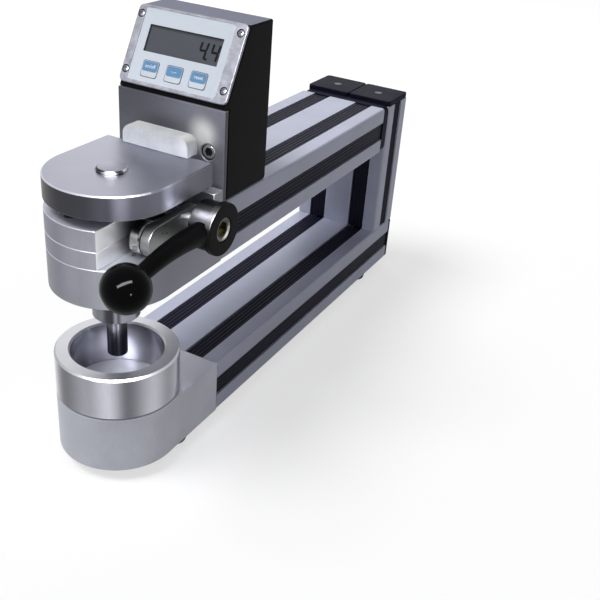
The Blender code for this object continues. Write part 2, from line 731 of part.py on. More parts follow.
def make_joint_screws():
    """Two bolts on a strap up through the base into the upright, and two screws into the arm."""
    strap_x = quarter_width + JOINT_HEAD_DIAMETER / 2
    strap_y = JOINT_HEAD_DIAMETER / 2
    strap = box((-strap_x, -strap_y, 0), (strap_x, strap_y, STRAP_THICKNESS))
    bolt_top = SECTION_HEIGHT + JOINT_SCREW_GRIP - STRAP_COVER
    bolts = [moved(rod(JOINT_SCREW_DIAMETER, STRAP_THICKNESS - EMBED, bolt_top), (side * quarter_width, 0, 0))
             for side in (-1, 1)]
    piece("upright_bolts", fused(strap, *bolts), "dark steel", (0, upright_axis_y, STRAP_COVER))

    rear = REACH + SECTION_HEIGHT - JOINT_HEAD_COVER - JOINT_HEAD_HEIGHT
    length = rear - REACH + ARM_PLATE_THICKNESS + JOINT_SCREW_GRIP
    for side, name in ((-1, "arm_screw_left"), (1, "arm_screw_right")):
        screw = socket_screw(JOINT_SCREW_DIAMETER, JOINT_HEAD_DIAMETER, JOINT_HEAD_HEIGHT, length)
        piece(name, screw, "dark steel", (side * quarter_width, rear, arm_axis_z), (-math.pi / 2, 0, 0))


# Head

def layer_screw_places():
    rear = (POCKET_REAR_Y + HEAD_REAR) / 2
    return [LAYER_SCREW_FRONT, LAYER_SCREW_SIDE, (-LAYER_SCREW_REAR_X, rear), (LAYER_SCREW_REAR_X, rear)]


def upper_layer(low, high):
    """Nose outline with the lever pocket taken out of its right side."""
    body = prism(nose_outline(half_width, HEAD_REAR), low, high)
    pocket = box((POCKET_WALL_X, -half_width - OVERRUN, low - OVERRUN),
                 (half_width + OVERRUN, POCKET_REAR_Y, high + OVERRUN))
    return cut(body, pocket)


def crank_tip():
    """Y and Z of the roller's axis from the lever shaft's axis."""
    return (-CRANK_LENGTH * math.cos(CRANK_DROOP), -CRANK_LENGTH * math.sin(CRANK_DROOP))


def make_head():
    screw_bore = LAYER_SCREW_DIAMETER + 2 * GAP
    head_bore = LAYER_HEAD_DIAMETER + 2 * GAP
    guide_bore = GUIDE_DIAMETER + 2 * GAP
    shaft_seat = shaft_bush_diameter + 2 * GAP
    seat_start = LEVER_SHAFT_INNER_X - SHAFT_BUSH_WALL
    screw_end = lower_layer_top - LAYER_SCREW_GRIP

    def guide_hole(low, high):
        return rod(guide_bore, low - OVERRUN, high + OVERRUN, ROUND_SIDES)

    def screw_holes(low, high):
        return [moved(rod(screw_bore, low, high), (x, y, 0)) for x, y in layer_screw_places()]

    def shaft_hole():
        hole = rod(shaft_seat, seat_start, POCKET_WALL_X + OVERRUN, ROUND_SIDES, "X")
        return moved(hole, (0, HUB_Y, shaft_z))

    lower = prism(nose_outline(half_width, HEAD_REAR), arm_underside, lower_layer_top)
    lower = fused(lower, *section_pins(arm_axis_z))
    plug = moved(rod(PLUG_SHANK_DIAMETER + 2 * GAP, -half_width - OVERRUN, 0, axis="X"),
                 (0, PLUG_Y, arm_underside + PLUG_RISE))
    relief_y = HUB_Y + crank_tip()[0]
    relief = box((roller_x - ROLLER_RELIEF_MARGIN, relief_y - ROLLER_RELIEF_LENGTH / 2,
                  lower_layer_top - ROLLER_RELIEF_DEPTH),
                 (roller_x + ROLLER_WIDTH + ROLLER_RELIEF_MARGIN, relief_y + ROLLER_RELIEF_LENGTH / 2,
                  lower_layer_top + OVERRUN))
    lower = cut(lower, guide_hole(arm_underside, lower_layer_top), plug, relief,
                *screw_holes(screw_end - GAP, lower_layer_top + OVERRUN))
    piece("head_lower_layer", lower, "milled aluminium")

    middle_low = lower_layer_top + GAP
    middle_high = shaft_z - GAP / 2
    middle = cut(upper_layer(middle_low, middle_high), guide_hole(middle_low, middle_high), shaft_hole(),
                 *screw_holes(middle_low - OVERRUN, middle_high + OVERRUN))
    piece("head_middle_layer", middle, "milled aluminium")

    top_low = shaft_z + GAP / 2
    head_z = head_top - LAYER_HEAD_HEIGHT - GAP
    sinks = [moved(rod(head_bore, head_z, head_top + OVERRUN), (x, y, 0)) for x, y in layer_screw_places()]
    top = cut(upper_layer(top_low, head_top), guide_hole(top_low, head_top), shaft_hole(), *sinks)
    screws = [moved(rod(LAYER_SCREW_DIAMETER, screw_end, top_low + EMBED), (x, y, 0))
              for x, y in layer_screw_places()]
    screws += [moved(rod(LAYER_HEAD_DIAMETER, head_z - EMBED, head_z + LAYER_HEAD_HEIGHT), (x, y, 0))
               for x, y in layer_screw_places()]
    sockets = [moved(hexagon_cutter(LAYER_HEAD_DIAMETER * HEX_SHARE, head_z + LAYER_HEAD_HEIGHT / 2,
                                    head_top + OVERRUN), (x, y, 0)) for x, y in layer_screw_places()]
    piece("head_top_layer", cut(fused(top, *screws), *sockets), "milled aluminium")


def make_guide():
    """Guide bush through all three layers with the polished collar under the head."""
    inner = GUIDE_BORE / 2
    outer = GUIDE_DIAMETER / 2
    collar = COLLAR_DIAMETER / 2
    collar_top = arm_underside - GAP
    collar_low = arm_underside - COLLAR_LENGTH
    top = head_top - GAP
    profile = [(inner, collar_low), (collar - COLLAR_EDGE, collar_low), (collar, collar_low + COLLAR_EDGE),
               (collar, collar_top), (outer, collar_top), (outer, top), (inner, top)]
    piece("guide_collar", turned(profile, closed=True), "polished steel")


def make_side_plug():
    """Round-headed screw in the head's left side that clamps the guide bush."""
    radius = PLUG_HEAD_DIAMETER / 2
    shank = PLUG_SHANK_DIAMETER / 2
    tip = half_width - GUIDE_DIAMETER / 2 - GAP
    profile = [(0, -tip), (shank, -tip), (shank, GAP), (radius, GAP), (radius, PLUG_HEAD_HEIGHT / 2)]
    profile += dome_profile(radius, PLUG_HEAD_HEIGHT / 2, PLUG_HEAD_HEIGHT / 2)
    shape = rotated(turned(profile, ROUND_SIDES), -math.pi / 2, "Y")
    piece("side_plug", shape, "milled aluminium", (-half_width, PLUG_Y, arm_underside + PLUG_RISE))


# Weight, plunger and what rides on them

def make_weight():
    carrier = anchor("weight_axis", (0, 0, weight_bottom))
    spigot_bore = SPIGOT_DIAMETER + 2 * GAP
    plate = soft_edged(prism(nose_outline(half_width, WEIGHT_REAR_Y), 0, WEIGHT_THICKNESS), WEIGHT_EDGE)
    bore = rod(spigot_bore, -OVERRUN, WEIGHT_THICKNESS + OVERRUN)
    piece("weight_plate", cut(plate, bore), "brushed steel", parent=carrier)

    radius = PLUNGER_DIAMETER / 2
    spigot = SPIGOT_DIAMETER / 2
    tip = tip_z - weight_bottom
    profile = [(0, tip), (radius - PLUNGER_TIP_EDGE, tip), (radius, tip + PLUNGER_TIP_EDGE),
               (radius, -GAP), (spigot, -GAP), (spigot, SPIGOT_LENGTH), (0, SPIGOT_LENGTH)]
    piece("plunger_shaft", turned(profile), "polished steel", parent=carrier)

    seat = WEIGHT_THICKNESS + GAP
    dome = DOME_DIAMETER / 2
    profile = [(0, SPIGOT_LENGTH + GAP), (spigot, SPIGOT_LENGTH + GAP), (spigot, seat), (dome, seat)]
    profile += dome_profile(dome, seat, DOME_HEIGHT)
    piece("dome_screw", turned(profile), "polished steel", parent=carrier)

    half = BLOCK_WIDTH / 2
    outline = [(-half, 0), (half, 0)]
    outline += arc((half - BLOCK_CORNER, BLOCK_HEIGHT - BLOCK_CORNER), BLOCK_CORNER, 0, 90, BLOCK_STEPS)
    outline += arc((BLOCK_CORNER - half, BLOCK_HEIGHT - BLOCK_CORNER), BLOCK_CORNER, 90, 180, BLOCK_STEPS)
    back = WEIGHT_REAR_Y + BLOCK_OVERHANG
    block = soft_edged(prism(outline, back - BLOCK_DEPTH, back, "Y"), BLOCK_EDGE)
    piece("rear_block", block, "white plastic", (0, 0, seat), parent=carrier)

    low = GAP
    high = low + SENSOR_ARM_HEIGHT
    start = WEIGHT_REAR_Y + GAP
    arm = box((-SENSOR_ARM_WIDTH / 2, start, low), (SENSOR_ARM_WIDTH / 2, SENSOR_ARM_END_Y, high))
    scale = box((-SCALE_WIDTH / 2, SENSOR_ARM_END_Y - SCALE_THICKNESS, low + EMBED),
                (SCALE_WIDTH / 2, SENSOR_ARM_END_Y + EMBED, low + SCALE_HEIGHT))
    piece("sensor_arm", fused(arm, scale), "milled aluminium", parent=carrier)


# Lever, crank and roller: their anchor is on the lever shaft's axis

def make_lever():
    carrier = anchor("lever_axis", (0, HUB_Y, shaft_z))
    shaft_end = HUB_OUTER_X - HUB_SCREW_LENGTH - HUB_EDGE - GAP
    shaft = rod(LEVER_SHAFT_DIAMETER, LEVER_SHAFT_INNER_X, shaft_end, ROUND_SIDES, "X", COLLAR_EDGE)
    piece("lever_shaft", shaft, "polished steel", parent=carrier)

    tip_y, tip_height = crank_tip()
    angle = math.degrees(CRANK_DROOP)
    outline = arc((0, 0), CRANK_RADIUS, angle - 90, angle + 90, ROUND_SIDES // 2)
    outline += arc((tip_y, tip_height), CRANK_RADIUS, angle + 90, angle + 270, ROUND_SIDES // 2)
    body = soft_edged(prism(outline, CRANK_X, CRANK_X + CRANK_THICKNESS, "X"), CRANK_EDGE)
    far = CRANK_X + CRANK_THICKNESS + OVERRUN
    shaft_hole = rod(LEVER_SHAFT_DIAMETER + 2 * GAP, CRANK_X - OVERRUN, far, ROUND_SIDES, "X")
    pin_hole = moved(rod(PIN_DIAMETER + 2 * GAP, CRANK_X - OVERRUN, far, axis="X"), (0, tip_y, tip_height))
    piece("crank_link", cut(body, shaft_hole, pin_hole), "dark steel", parent=carrier)

    radius = PIN_DIAMETER / 2
    head_x = roller_x - GAP
    outer_x = CRANK_X + CRANK_THICKNESS - GAP
    profile = [(0, head_x - PIN_HEAD_THICKNESS), (PIN_HEAD_DIAMETER / 2, head_x - PIN_HEAD_THICKNESS),
               (PIN_HEAD_DIAMETER / 2, head_x), (radius, head_x), (radius, outer_x), (0, outer_x)]
    piece("roller_pin", turned(profile, SMALL_SIDES, "X"), "polished steel",
          (0, tip_y, tip_height), parent=carrier)

    spinner = anchor("roller_axis", (0, tip_y, tip_height), parent=carrier)
    roller = ring(ROLLER_DIAMETER, PIN_DIAMETER + 2 * GAP, roller_x, roller_x + ROLLER_WIDTH,
                  ROLLER_SIDES, "X", ROLLER_EDGE)
    piece("roller", roller, "polished steel", parent=spinner)

    piece("lever_arm", lever_arm_shape(), "black zinc", parent=carrier)
    screw_start = HUB_OUTER_X - HUB_EDGE - HUB_SCREW_LENGTH
    screw = rod(HUB_SCREW_DIAMETER, screw_start, HUB_OUTER_X - HUB_EDGE / 2, ROUND_SIDES, "X", HUB_SCREW_EDGE)
    socket = hexagon_cutter(HUB_SCREW_DIAMETER * HEX_SHARE, HUB_OUTER_X - HUB_EDGE - HUB_HEX_DEPTH,
                            HUB_OUTER_X + OVERRUN, "X")
    piece("hub_screw", cut(screw, socket), "polished steel", parent=carrier)

    make_ball(carrier)


def rod_path():
    """Centres and radii of the tapered rod, from inside the hub to inside the ball."""
    start = Vector(((HUB_INNER_X + HUB_OUTER_X) / 2, -HUB_DIAMETER / 4, 0))
    end = Vector((BALL_X, BALL_Y - HUB_Y, BALL_RISE))
    sections = []
    for step in range(ROD_STEPS + 1):
        share = step / ROD_STEPS
        centre = start.lerp(end, share)
        centre.z += ROD_BOW * math.sin(math.pi * share)
        slim = share ** ROD_TAPER
        radius = (ROD_ROOT_DIAMETER + (ROD_NECK_DIAMETER - ROD_ROOT_DIAMETER) * slim) / 2
        sections.append((centre, radius))
    return sections


def lever_arm_shape():
    barrel = HUB_DIAMETER / 2
    flange = FLANGE_DIAMETER / 2
    flange_x = HUB_OUTER_X - FLANGE_THICKNESS
    profile = [(0, HUB_INNER_X), (barrel - HUB_EDGE, HUB_INNER_X), (barrel, HUB_INNER_X + HUB_EDGE),
               (barrel, flange_x), (flange - HUB_EDGE, flange_x), (flange, flange_x + HUB_EDGE),
               (flange, HUB_OUTER_X - HUB_EDGE), (flange - HUB_EDGE, HUB_OUTER_X), (0, HUB_OUTER_X)]
    hub = turned(profile, ROUND_SIDES, "X")

    arm = bmesh.new()
    loops = []
    sections = rod_path()
    for index, (centre, radius) in enumerate(sections):
        before = sections[max(index - 1, 0)][0]
        after = sections[min(index + 1, len(sections) - 1)][0]
        direction = (after - before).normalized()
        across = Vector((1, 0, 0))
        across = (across - across.dot(direction) * direction).normalized()
        upward = direction.cross(across)
        loop = []
        for side in range(ROD_SIDES):
            angle = 2 * math.pi * side / ROD_SIDES
            outward = math.cos(angle) * across + math.sin(angle) * upward
            loop.append(arm.verts.new(centre + radius * outward))
        loops.append(loop)
    for first, second in zip(loops, loops[1:]):
        for side in range(ROD_SIDES):
            following = (side + 1) % ROD_SIDES
            arm.faces.new((first[side], first[following], second[following], second[side]))
    arm.faces.new(loops[0])
    arm.faces.new(loops[-1])
    bmesh.ops.recalc_face_normals(arm, faces=arm.faces)

    bore = rod(LEVER_SHAFT_DIAMETER + 2 * GAP, HUB_INNER_X - OVERRUN, HUB_OUTER_X - OVERRUN, ROUND_SIDES, "X")
    seat_start = HUB_OUTER_X - HUB_EDGE - HUB_SCREW_LENGTH - GAP
    seat = rod(HUB_SCREW_DIAMETER + 2 * GAP, seat_start, HUB_OUTER_X + OVERRUN, ROUND_SIDES, "X")
    return cut(fused(hub, arm), bore, seat)


def make_ball(carrier):
    """Ball with a small flat and a bore where the rod's end sits in it."""
    sections = rod_path()
    centre, end_radius = sections[-1]
    toward_hub = (sections[-2][0] - centre).normalized()
    ball = bmesh.new()
    bmesh.ops.create_uvsphere(ball, u_segments=ROUND_SIDES, v_segments=ROUND_SIDES // 2,
                              radius=BALL_DIAMETER / 2)
    flat = math.sqrt((BALL_DIAMETER / 2) ** 2 - (BALL_FLAT_DIAMETER / 2) ** 2)
    trim = box((-BALL_DIAMETER, -BALL_DIAMETER, flat), (BALL_DIAMETER, BALL_DIAMETER, BALL_DIAMETER))
    bore = turned([(0, -2 * GAP), (end_radius + 2 * GAP, -2 * GAP), (end_radius + 4 * GAP, BALL_DIAMETER),
                   (0, BALL_DIAMETER)])
    shape = cut(ball, trim, bore)
    turn = toward_hub.to_track_quat("Z", "Y").to_euler()
    piece("ball_knob", shape, "gloss black", centre, turn, carrier)


def make_shaft_bush():
    bush = ring(shaft_bush_diameter, LEVER_SHAFT_DIAMETER + 2 * GAP, LEVER_SHAFT_INNER_X,
                POCKET_WALL_X - GAP, ROUND_SIDES, "X")
    piece("shaft_bush", bush, "brass", (0, HUB_Y, shaft_z))


# Display housing

def on_slope(s, n):
    """Y and Z of a point on the display's slope, s up it and n out of it."""
    along = (math.sin(DISPLAY_TILT), math.cos(DISPLAY_TILT))
    out = (-along[1], along[0])
    return (DISPLAY_FOOT_Y + s * along[0] + n * out[0],
            arm_top + DISPLAY_FOOT_RISE + s * along[1] + n * out[1])


def slope_meets_level(s, level):
    """The point where the line out of the slope at s crosses a level."""
    foot = on_slope(s, 0)
    n = (level - foot[1]) / math.sin(DISPLAY_TILT)
    return on_slope(s, n)


def floor_screw_places():
    rows = (HOUSING_FRONT_Y + FLOOR_SCREW_FRONT, HOUSING_BACK_Y - FLOOR_SCREW_BACK)
    return [(side * quarter_width, y) for side in (-1, 1) for y in rows]


def plate_screw_places():
    return [housing_left + PLATE_SCREW_INSET, housing_right - PLATE_SCREW_INSET]


def make_housing():
    floor = arm_top + GAP
    front = HOUSING_FRONT_Y + FRONT_PLATE_THICKNESS + GAP
    seat_n = -FRAME_THICKNESS - GAP
    peak = on_slope(FRAME_HEIGHT, seat_n)
    plate_top = floor + FRONT_PLATE_HEIGHT
    outline = [(front, floor), (HOUSING_BACK_Y, floor), (HOUSING_BACK_Y, peak[1]), peak, on_slope(0, seat_n),
               (HOUSING_FRONT_Y + HOUSING_LIP, plate_top + GAP), (front, plate_top + GAP)]
    shell = soft_edged(prism(outline, housing_left, housing_right, "X"), HOUSING_EDGE)

    low = skirt_low - GAP
    high = skirt_high + GAP
    inner_floor = floor + HOUSING_WALL
    inner_back = HOUSING_BACK_Y - HOUSING_WALL
    ceiling = peak[1] - HOUSING_WALL
    rail = on_slope(low, -SKIRT_DEPTH)
    rail_low = plate_top - FRONT_RAIL_HEIGHT
    outside = HOUSING_FRONT_Y - OVERRUN
    hollow = [(outside, inner_floor), (inner_back, inner_floor), (inner_back, ceiling),
              slope_meets_level(high, ceiling), on_slope(high, OVERRUN),
              on_slope(low, OVERRUN), rail, (rail[0], rail_low), (outside, rail_low)]
    shell = cut(shell, prism(hollow, housing_left + HOUSING_SIDE, housing_right - HOUSING_SIDE, "X"))

    boss_z = arm_top + PLATE_SCREW_RISE
    boss_half = PLATE_BOSS_HEIGHT / 2
    boss_back = front + PLATE_BOSS_DEPTH
    left_x, right_x = plate_screw_places()
    bosses = [box((housing_left + HOUSING_SIDE / 2, front, boss_z - boss_half),
                  (left_x + PLATE_BOSS_WIDTH / 2, boss_back, boss_z + boss_half)),
              box((right_x - PLATE_BOSS_WIDTH / 2, front, boss_z - boss_half),
                  (housing_right - HOUSING_SIDE / 2, boss_back, boss_z + boss_half))]
    battery_z = peak[1] - BATTERY_DROP
    shell = fused(shell, *bosses, battery_bay(inner_back, battery_z))
    holes = []
    for x in plate_screw_places():
        hole = rod(PLATE_SCREW_DIAMETER + 2 * GAP, front - OVERRUN, boss_back - OVERRUN, axis="Y")
        holes.append(moved(hole, (x, 0, boss_z)))
    for x, y in floor_screw_places():
        hole = rod(FLOOR_SCREW_DIAMETER + 2 * GAP, floor - OVERRUN, inner_floor + OVERRUN)
        holes.append(moved(hole, (x, y, 0)))
    for x, s in frame_screw_places():
        hole = rod(FRAME_SCREW_DIAMETER + 2 * GAP, -FRAME_SCREW_LENGTH - GAP, OVERRUN)
        holes.append(moved(on_display(hole), (x + HOUSING_SHIFT, *on_slope(s, 0))))
    piece("housing_shell", cut(shell, *holes), "housing black")

    make_front_plate(floor, boss_z)
    make_floor_clamp(inner_floor + GAP)
    make_inside(inner_back, battery_z)


def on_display(shape):
    """Turns a shape made along Z so that it stands out of the display's slope."""
    return rotated(shape, math.pi / 2 - DISPLAY_TILT, "X")


def make_front_plate(floor, boss_z):
    plate = box((housing_left, HOUSING_FRONT_Y, floor),
                (housing_right, HOUSING_FRONT_Y + FRONT_PLATE_THICKNESS, floor + FRONT_PLATE_HEIGHT))
    plate = soft_edged(plate, FRONT_PLATE_EDGE)
    slot_low = weight_bottom + GAP - WEIGHT_CLEARANCE
    slot_high = weight_bottom + GAP + SENSOR_ARM_HEIGHT + LIFT_TRAVEL + 2 * GAP
    slot_half = SENSOR_ARM_WIDTH / 2 + 2 * GAP
    slot = box((-slot_half, HOUSING_FRONT_Y - OVERRUN, slot_low),
               (slot_half, HOUSING_FRONT_Y + FRONT_PLATE_THICKNESS + OVERRUN, slot_high))
    holes = [slot]
    back = HOUSING_FRONT_Y + FRONT_PLATE_THICKNESS + OVERRUN
    sink_floor = HOUSING_FRONT_Y + PLATE_HEAD_SUNK + GAP
    sink_radius = PLATE_HEAD_DIAMETER / 2 + GAP
    hole_radius = PLATE_SCREW_DIAMETER / 2 + GAP
    profile = [(0, HOUSING_FRONT_Y - OVERRUN), (sink_radius, HOUSING_FRONT_Y - OVERRUN),
               (sink_radius, sink_floor), (hole_radius, sink_floor), (hole_radius, back), (0, back)]
    for x in plate_screw_places():
        holes.append(moved(turned(profile, ROUND_SIDES, "Y"), (x, 0, boss_z)))
    piece("front_plate", cut(plate, *holes), "grey plate")

    length = PLATE_BOSS_DEPTH - 2 * OVERRUN
    for x, name in zip(plate_screw_places(), ("plate_screw_left", "plate_screw_right")):
        screw = socket_screw(PLATE_SCREW_DIAMETER, PLATE_HEAD_DIAMETER, PLATE_HEAD_HEIGHT, length,
                             ROUND_SIDES)
        place = (x, HOUSING_FRONT_Y + PLATE_HEAD_SUNK, boss_z)
        piece(name, screw, "polished steel", place, (math.pi / 2, 0, 0))


def make_floor_clamp(floor):
    """Plate on the housing's floor whose four screws hold a bar in each of the arm's top slots."""
    bar_top = arm_top - LIP_DEPTH - GAP
    places = floor_screw_places()
    front = min(y for _, y in places) - CLAMP_MARGIN
    back = max(y for _, y in places) + CLAMP_MARGIN
    reach = quarter_width + CLAMP_MARGIN
    clamp = box((-reach, front, floor), (reach, back, floor + CLAMP_THICKNESS))
    parts = [moved(rod(FLOOR_SCREW_DIAMETER, bar_top - SLOT_BAR_THICKNESS / 2, floor + EMBED), (x, y, 0))
             for x, y in places]
    half = CHAMBER_WIDTH / 2 - GAP
    for side in (-1, 1):
        middle = side * quarter_width
        bar = box((middle - half, front, bar_top - SLOT_BAR_THICKNESS), (middle + half, back, bar_top))
        parts.append(bar)
    piece("housing_clamp", fused(clamp, *parts), "dark steel")


def battery_axis_y(inner_back):
    return inner_back - BAY_SLACK - BATTERY_DIAMETER / 2


def battery_bay(inner_back, z):
    """Open tray moulded on the housing's back wall, round the battery."""
    y = battery_axis_y(inner_back)
    long_half = BATTERY_LENGTH / 2 + BATTERY_TIP_LENGTH + BAY_SLACK
    tall_half = BATTERY_DIAMETER / 2 + BAY_SLACK
    tray = box((-long_half - BAY_WALL, y - BATTERY_DIAMETER / 2, z - tall_half - BAY_WALL),
               (long_half + BAY_WALL, inner_back + EMBED, z + tall_half + BAY_WALL))
    hollow = box((-long_half, y - BATTERY_DIAMETER, z - tall_half), (long_half, inner_back, z + tall_half))
    return moved(cut(tray, hollow), (HOUSING_SHIFT, 0, 0))


def make_inside(inner_back, battery_z):
    sensor_z = arm_top + SENSOR_RISE
    sensor_top = sensor_z + SENSOR_HEIGHT
    sensor = box((-SENSOR_WIDTH / 2, SENSOR_ARM_END_Y + EMBED + SENSOR_SLACK, sensor_z),
                 (SENSOR_WIDTH / 2, inner_back - GAP, sensor_top))
    board_back_n = board_front_n - BOARD_THICKNESS
    foot = on_slope(0, board_back_n)
    lead_top = foot[1] + (LEAD_Y - foot[0]) / math.tan(DISPLAY_TILT) - LEAD_END_CLEARANCE
    lead = moved(rod(LEAD_DIAMETER, sensor_top - EMBED, lead_top), (LEAD_X, LEAD_Y, 0))
    piece("sensor_head", fused(soft_edged(sensor, HEAD_EDGE), lead), "strip plastic")

    half_length = BATTERY_LENGTH / 2
    radius = BATTERY_DIAMETER / 2
    tip = BATTERY_TIP_DIAMETER / 2
    profile = [(0, -half_length), (radius, -half_length), (radius, half_length), (tip, half_length),
               (tip, half_length + BATTERY_TIP_LENGTH), (0, half_length + BATTERY_TIP_LENGTH)]
    place = (HOUSING_SHIFT, battery_axis_y(inner_back), battery_z)
    piece("battery", turned(profile, axis="X"), "battery steel", place)


# Display unit: its anchor lies on the slope's lower edge, with x across, y up the slope, z out

def frame_screw_places():
    columns = (FRAME_SCREW_INSET_LEFT - frame_half, frame_half - FRAME_SCREW_INSET_RIGHT)
    rows = (FRAME_SCREW_INSET_LOW, FRAME_HEIGHT - FRAME_SCREW_INSET_HIGH)
    return [(x, s) for x in columns for s in rows]


def key_centres():
    return [key_middle_x + KEY_PITCH * step for step in (-1, 0, 1)]


def foil_outline(grown):
    """Foil with its right corners rounded, grown on every side."""
    right = foil_right + grown
    low = foil_low - grown
    high = foil_high + grown
    points = arc((right - FOIL_CORNER, low + FOIL_CORNER), FOIL_CORNER, -90, 0, CORNER_STEPS)
    points += arc((right - FOIL_CORNER, high - FOIL_CORNER), FOIL_CORNER, 0, 90, CORNER_STEPS)
    return points + [(foil_left - grown, high), (foil_left - grown, low)]


def make_frame(slope):
    outline = rounded_rectangle(-frame_half, frame_half, 0, FRAME_HEIGHT, FRAME_CORNER)
    plate = soft_edged(prism(outline, -FRAME_THICKNESS, 0), FRAME_EDGE)
    skirt = box((-skirt_half, skirt_low, GAP - SKIRT_DEPTH), (skirt_half, skirt_high, -FRAME_THICKNESS / 2))
    inner = skirt_half - SKIRT_WALL
    inner_low = skirt_low + SKIRT_WALL
    inner_high = skirt_high - SKIRT_WALL
    cuts = [box((-inner, inner_low, -SKIRT_DEPTH - OVERRUN), (inner, inner_high, -FRAME_THICKNESS)),
            prism(foil_outline(GAP), foil_back_n - GAP, OVERRUN),
            box((max(foil_left + LEDGE, -inner), inner_low, -FRAME_THICKNESS - OVERRUN),
                (min(foil_right - LEDGE, inner), inner_high, OVERRUN))]
    screws = []
    for x, s in frame_screw_places():
        cuts.append(moved(rod(FRAME_SCREW_HEAD + 2 * GAP, -FRAME_SCREW_HEAD_HEIGHT, OVERRUN), (x, s, 0)))
        shank = rod(FRAME_SCREW_DIAMETER, -FRAME_SCREW_LENGTH, EMBED - FRAME_THICKNESS)
        head = rod(FRAME_SCREW_HEAD, -FRAME_SCREW_HEAD_HEIGHT - EMBED, 0)
        screws += [moved(shank, (x, s, 0)), moved(head, (x, s, 0))]
    frame = fused(cut(fused(plate, skirt), *cuts), *screws)
    piece("display_frame", frame, "cast silver", parent=slope)


def make_foil_and_screen(slope):
    windows = [rounded_rectangle(screen_left, screen_right, screen_low, screen_high, SCREEN_CORNER)]
    half_width_of_key = KEY_WIDTH / 2 + GAP
    half_height_of_key = KEY_HEIGHT / 2 + GAP
    for x in key_centres():
        windows.append(rounded_rectangle(x - half_width_of_key, x + half_width_of_key,
                                         key_centre_s - half_height_of_key, key_centre_s + half_height_of_key,
                                         KEY_CORNER))
    foil = cut(prism(foil_outline(0), foil_back_n, -FOIL_SUNK),
               *[prism(window, foil_back_n - OVERRUN, OVERRUN) for window in windows])
    piece("display_foil", foil, "pale foil", parent=slope)

    screen = box((screen_left - SCREEN_MARGIN, screen_low - SCREEN_MARGIN, screen_front_n - SCREEN_THICKNESS),
                 (screen_right + SCREEN_MARGIN, screen_high + SCREEN_MARGIN, screen_front_n))
    piece("screen_module", screen, "screen glass", parent=slope)


def make_board_and_keys(slope):
    side = skirt_half - SKIRT_WALL - BOARD_CLEARANCE
    inset = SKIRT_WALL + BOARD_CLEARANCE
    board = box((-side, skirt_low + inset, board_front_n - BOARD_THICKNESS),
                (side, skirt_high - inset, board_front_n))
    dome_top = key_back_n - KEY_TRAVEL - KEY_SLACK
    dome_low = board_front_n - BOARD_THICKNESS / 2
    domes = [moved(rod(DOME_KEY_DIAMETER, dome_low, dome_top), (x, key_centre_s, 0)) for x in key_centres()]
    piece("display_board", fused(board, *domes), "board green", parent=slope)

    wide = KEY_WIDTH / 2
    tall = KEY_HEIGHT / 2
    for name, x in zip(("key_left", "key_middle", "key_right"), key_centres()):
        cap = prism(rounded_rectangle(-wide, wide, -tall, tall, KEY_CORNER),
                    key_back_n + KEY_FLANGE_THICKNESS / 2, KEY_PROUD - FOIL_SUNK)
        flange = box((-wide - KEY_FLANGE, -tall - KEY_FLANGE, key_back_n),
                     (wide + KEY_FLANGE, tall + KEY_FLANGE, key_back_n + KEY_FLANGE_THICKNESS))
        piece(name, fused(cap, flange), "blue key", (x, key_centre_s, 0), parent=slope)


def make_display():
    slope = anchor("display_slope", (HOUSING_SHIFT, *on_slope(0, 0)), (math.pi / 2 - DISPLAY_TILT, 0, 0))
    make_frame(slope)
    make_foil_and_screen(slope)
    make_board_and_keys(slope)


make_base()
make_nose_and_cylinder()
make_feet()
make_upright()
make_arm()
make_joint_screws()
make_head()
make_guide()
make_side_plug()
make_shaft_bush()
make_weight()
make_lever()
make_housing()
make_display()
bpy.context.view_layer.update()
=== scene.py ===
import math

import bmesh
import bpy
from mathutils import Matrix, Vector


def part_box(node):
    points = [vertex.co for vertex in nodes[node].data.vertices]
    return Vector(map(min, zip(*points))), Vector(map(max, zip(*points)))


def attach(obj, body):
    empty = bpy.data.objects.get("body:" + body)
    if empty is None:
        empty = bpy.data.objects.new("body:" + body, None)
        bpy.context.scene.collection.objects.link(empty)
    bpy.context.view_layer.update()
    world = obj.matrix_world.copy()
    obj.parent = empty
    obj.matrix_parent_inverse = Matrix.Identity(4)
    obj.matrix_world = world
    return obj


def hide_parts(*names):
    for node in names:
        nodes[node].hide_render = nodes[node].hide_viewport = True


# Stiffness gauge: a C-shaped stand of drawn section, a guided weight over a measuring cylinder,
# a lifting lever with a roller, and a tilted depth display.
# Metres, +Z up. The plunger's axis is x = y = 0 and the lever is on the +X side.

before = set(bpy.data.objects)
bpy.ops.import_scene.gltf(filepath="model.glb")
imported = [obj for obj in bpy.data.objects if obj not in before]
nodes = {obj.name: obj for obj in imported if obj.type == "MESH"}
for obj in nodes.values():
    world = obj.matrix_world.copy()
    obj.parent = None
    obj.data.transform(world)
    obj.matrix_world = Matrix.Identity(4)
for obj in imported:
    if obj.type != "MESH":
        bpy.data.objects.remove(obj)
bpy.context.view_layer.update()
scene = bpy.context.scene

gap = 0.0003          # between pieces that touch
overrun = 0.002       # how far a cutter runs past what it cuts
margin = 0.0001       # how far a paint test reaches past its faces
mergeWithin = 0.000002
noseRadius = 0.040    # of head, base nose and weight plate

detail = {
    "noseSteps": 96,      # along a half-round front
    "ringSides": 128,
    "roundSides": 96,
    "screwSides": 64,
    "smallSides": 48,
    "boreSides": 32,
    "cornerSteps": 8,
    "cornerReach": 0.45,  # share of a straight that a soft corner may take
    "smoothBelow": math.radians(38),
    "bevelAbove": math.radians(28),
    "flatWithin": math.radians(0.5),
}

# limits on a normal's part along an axis, from faces that run along it to those square to it
facing = {"side": 0.2, "slant": 0.3, "half": 0.5, "across": 0.9, "flat": 0.95}

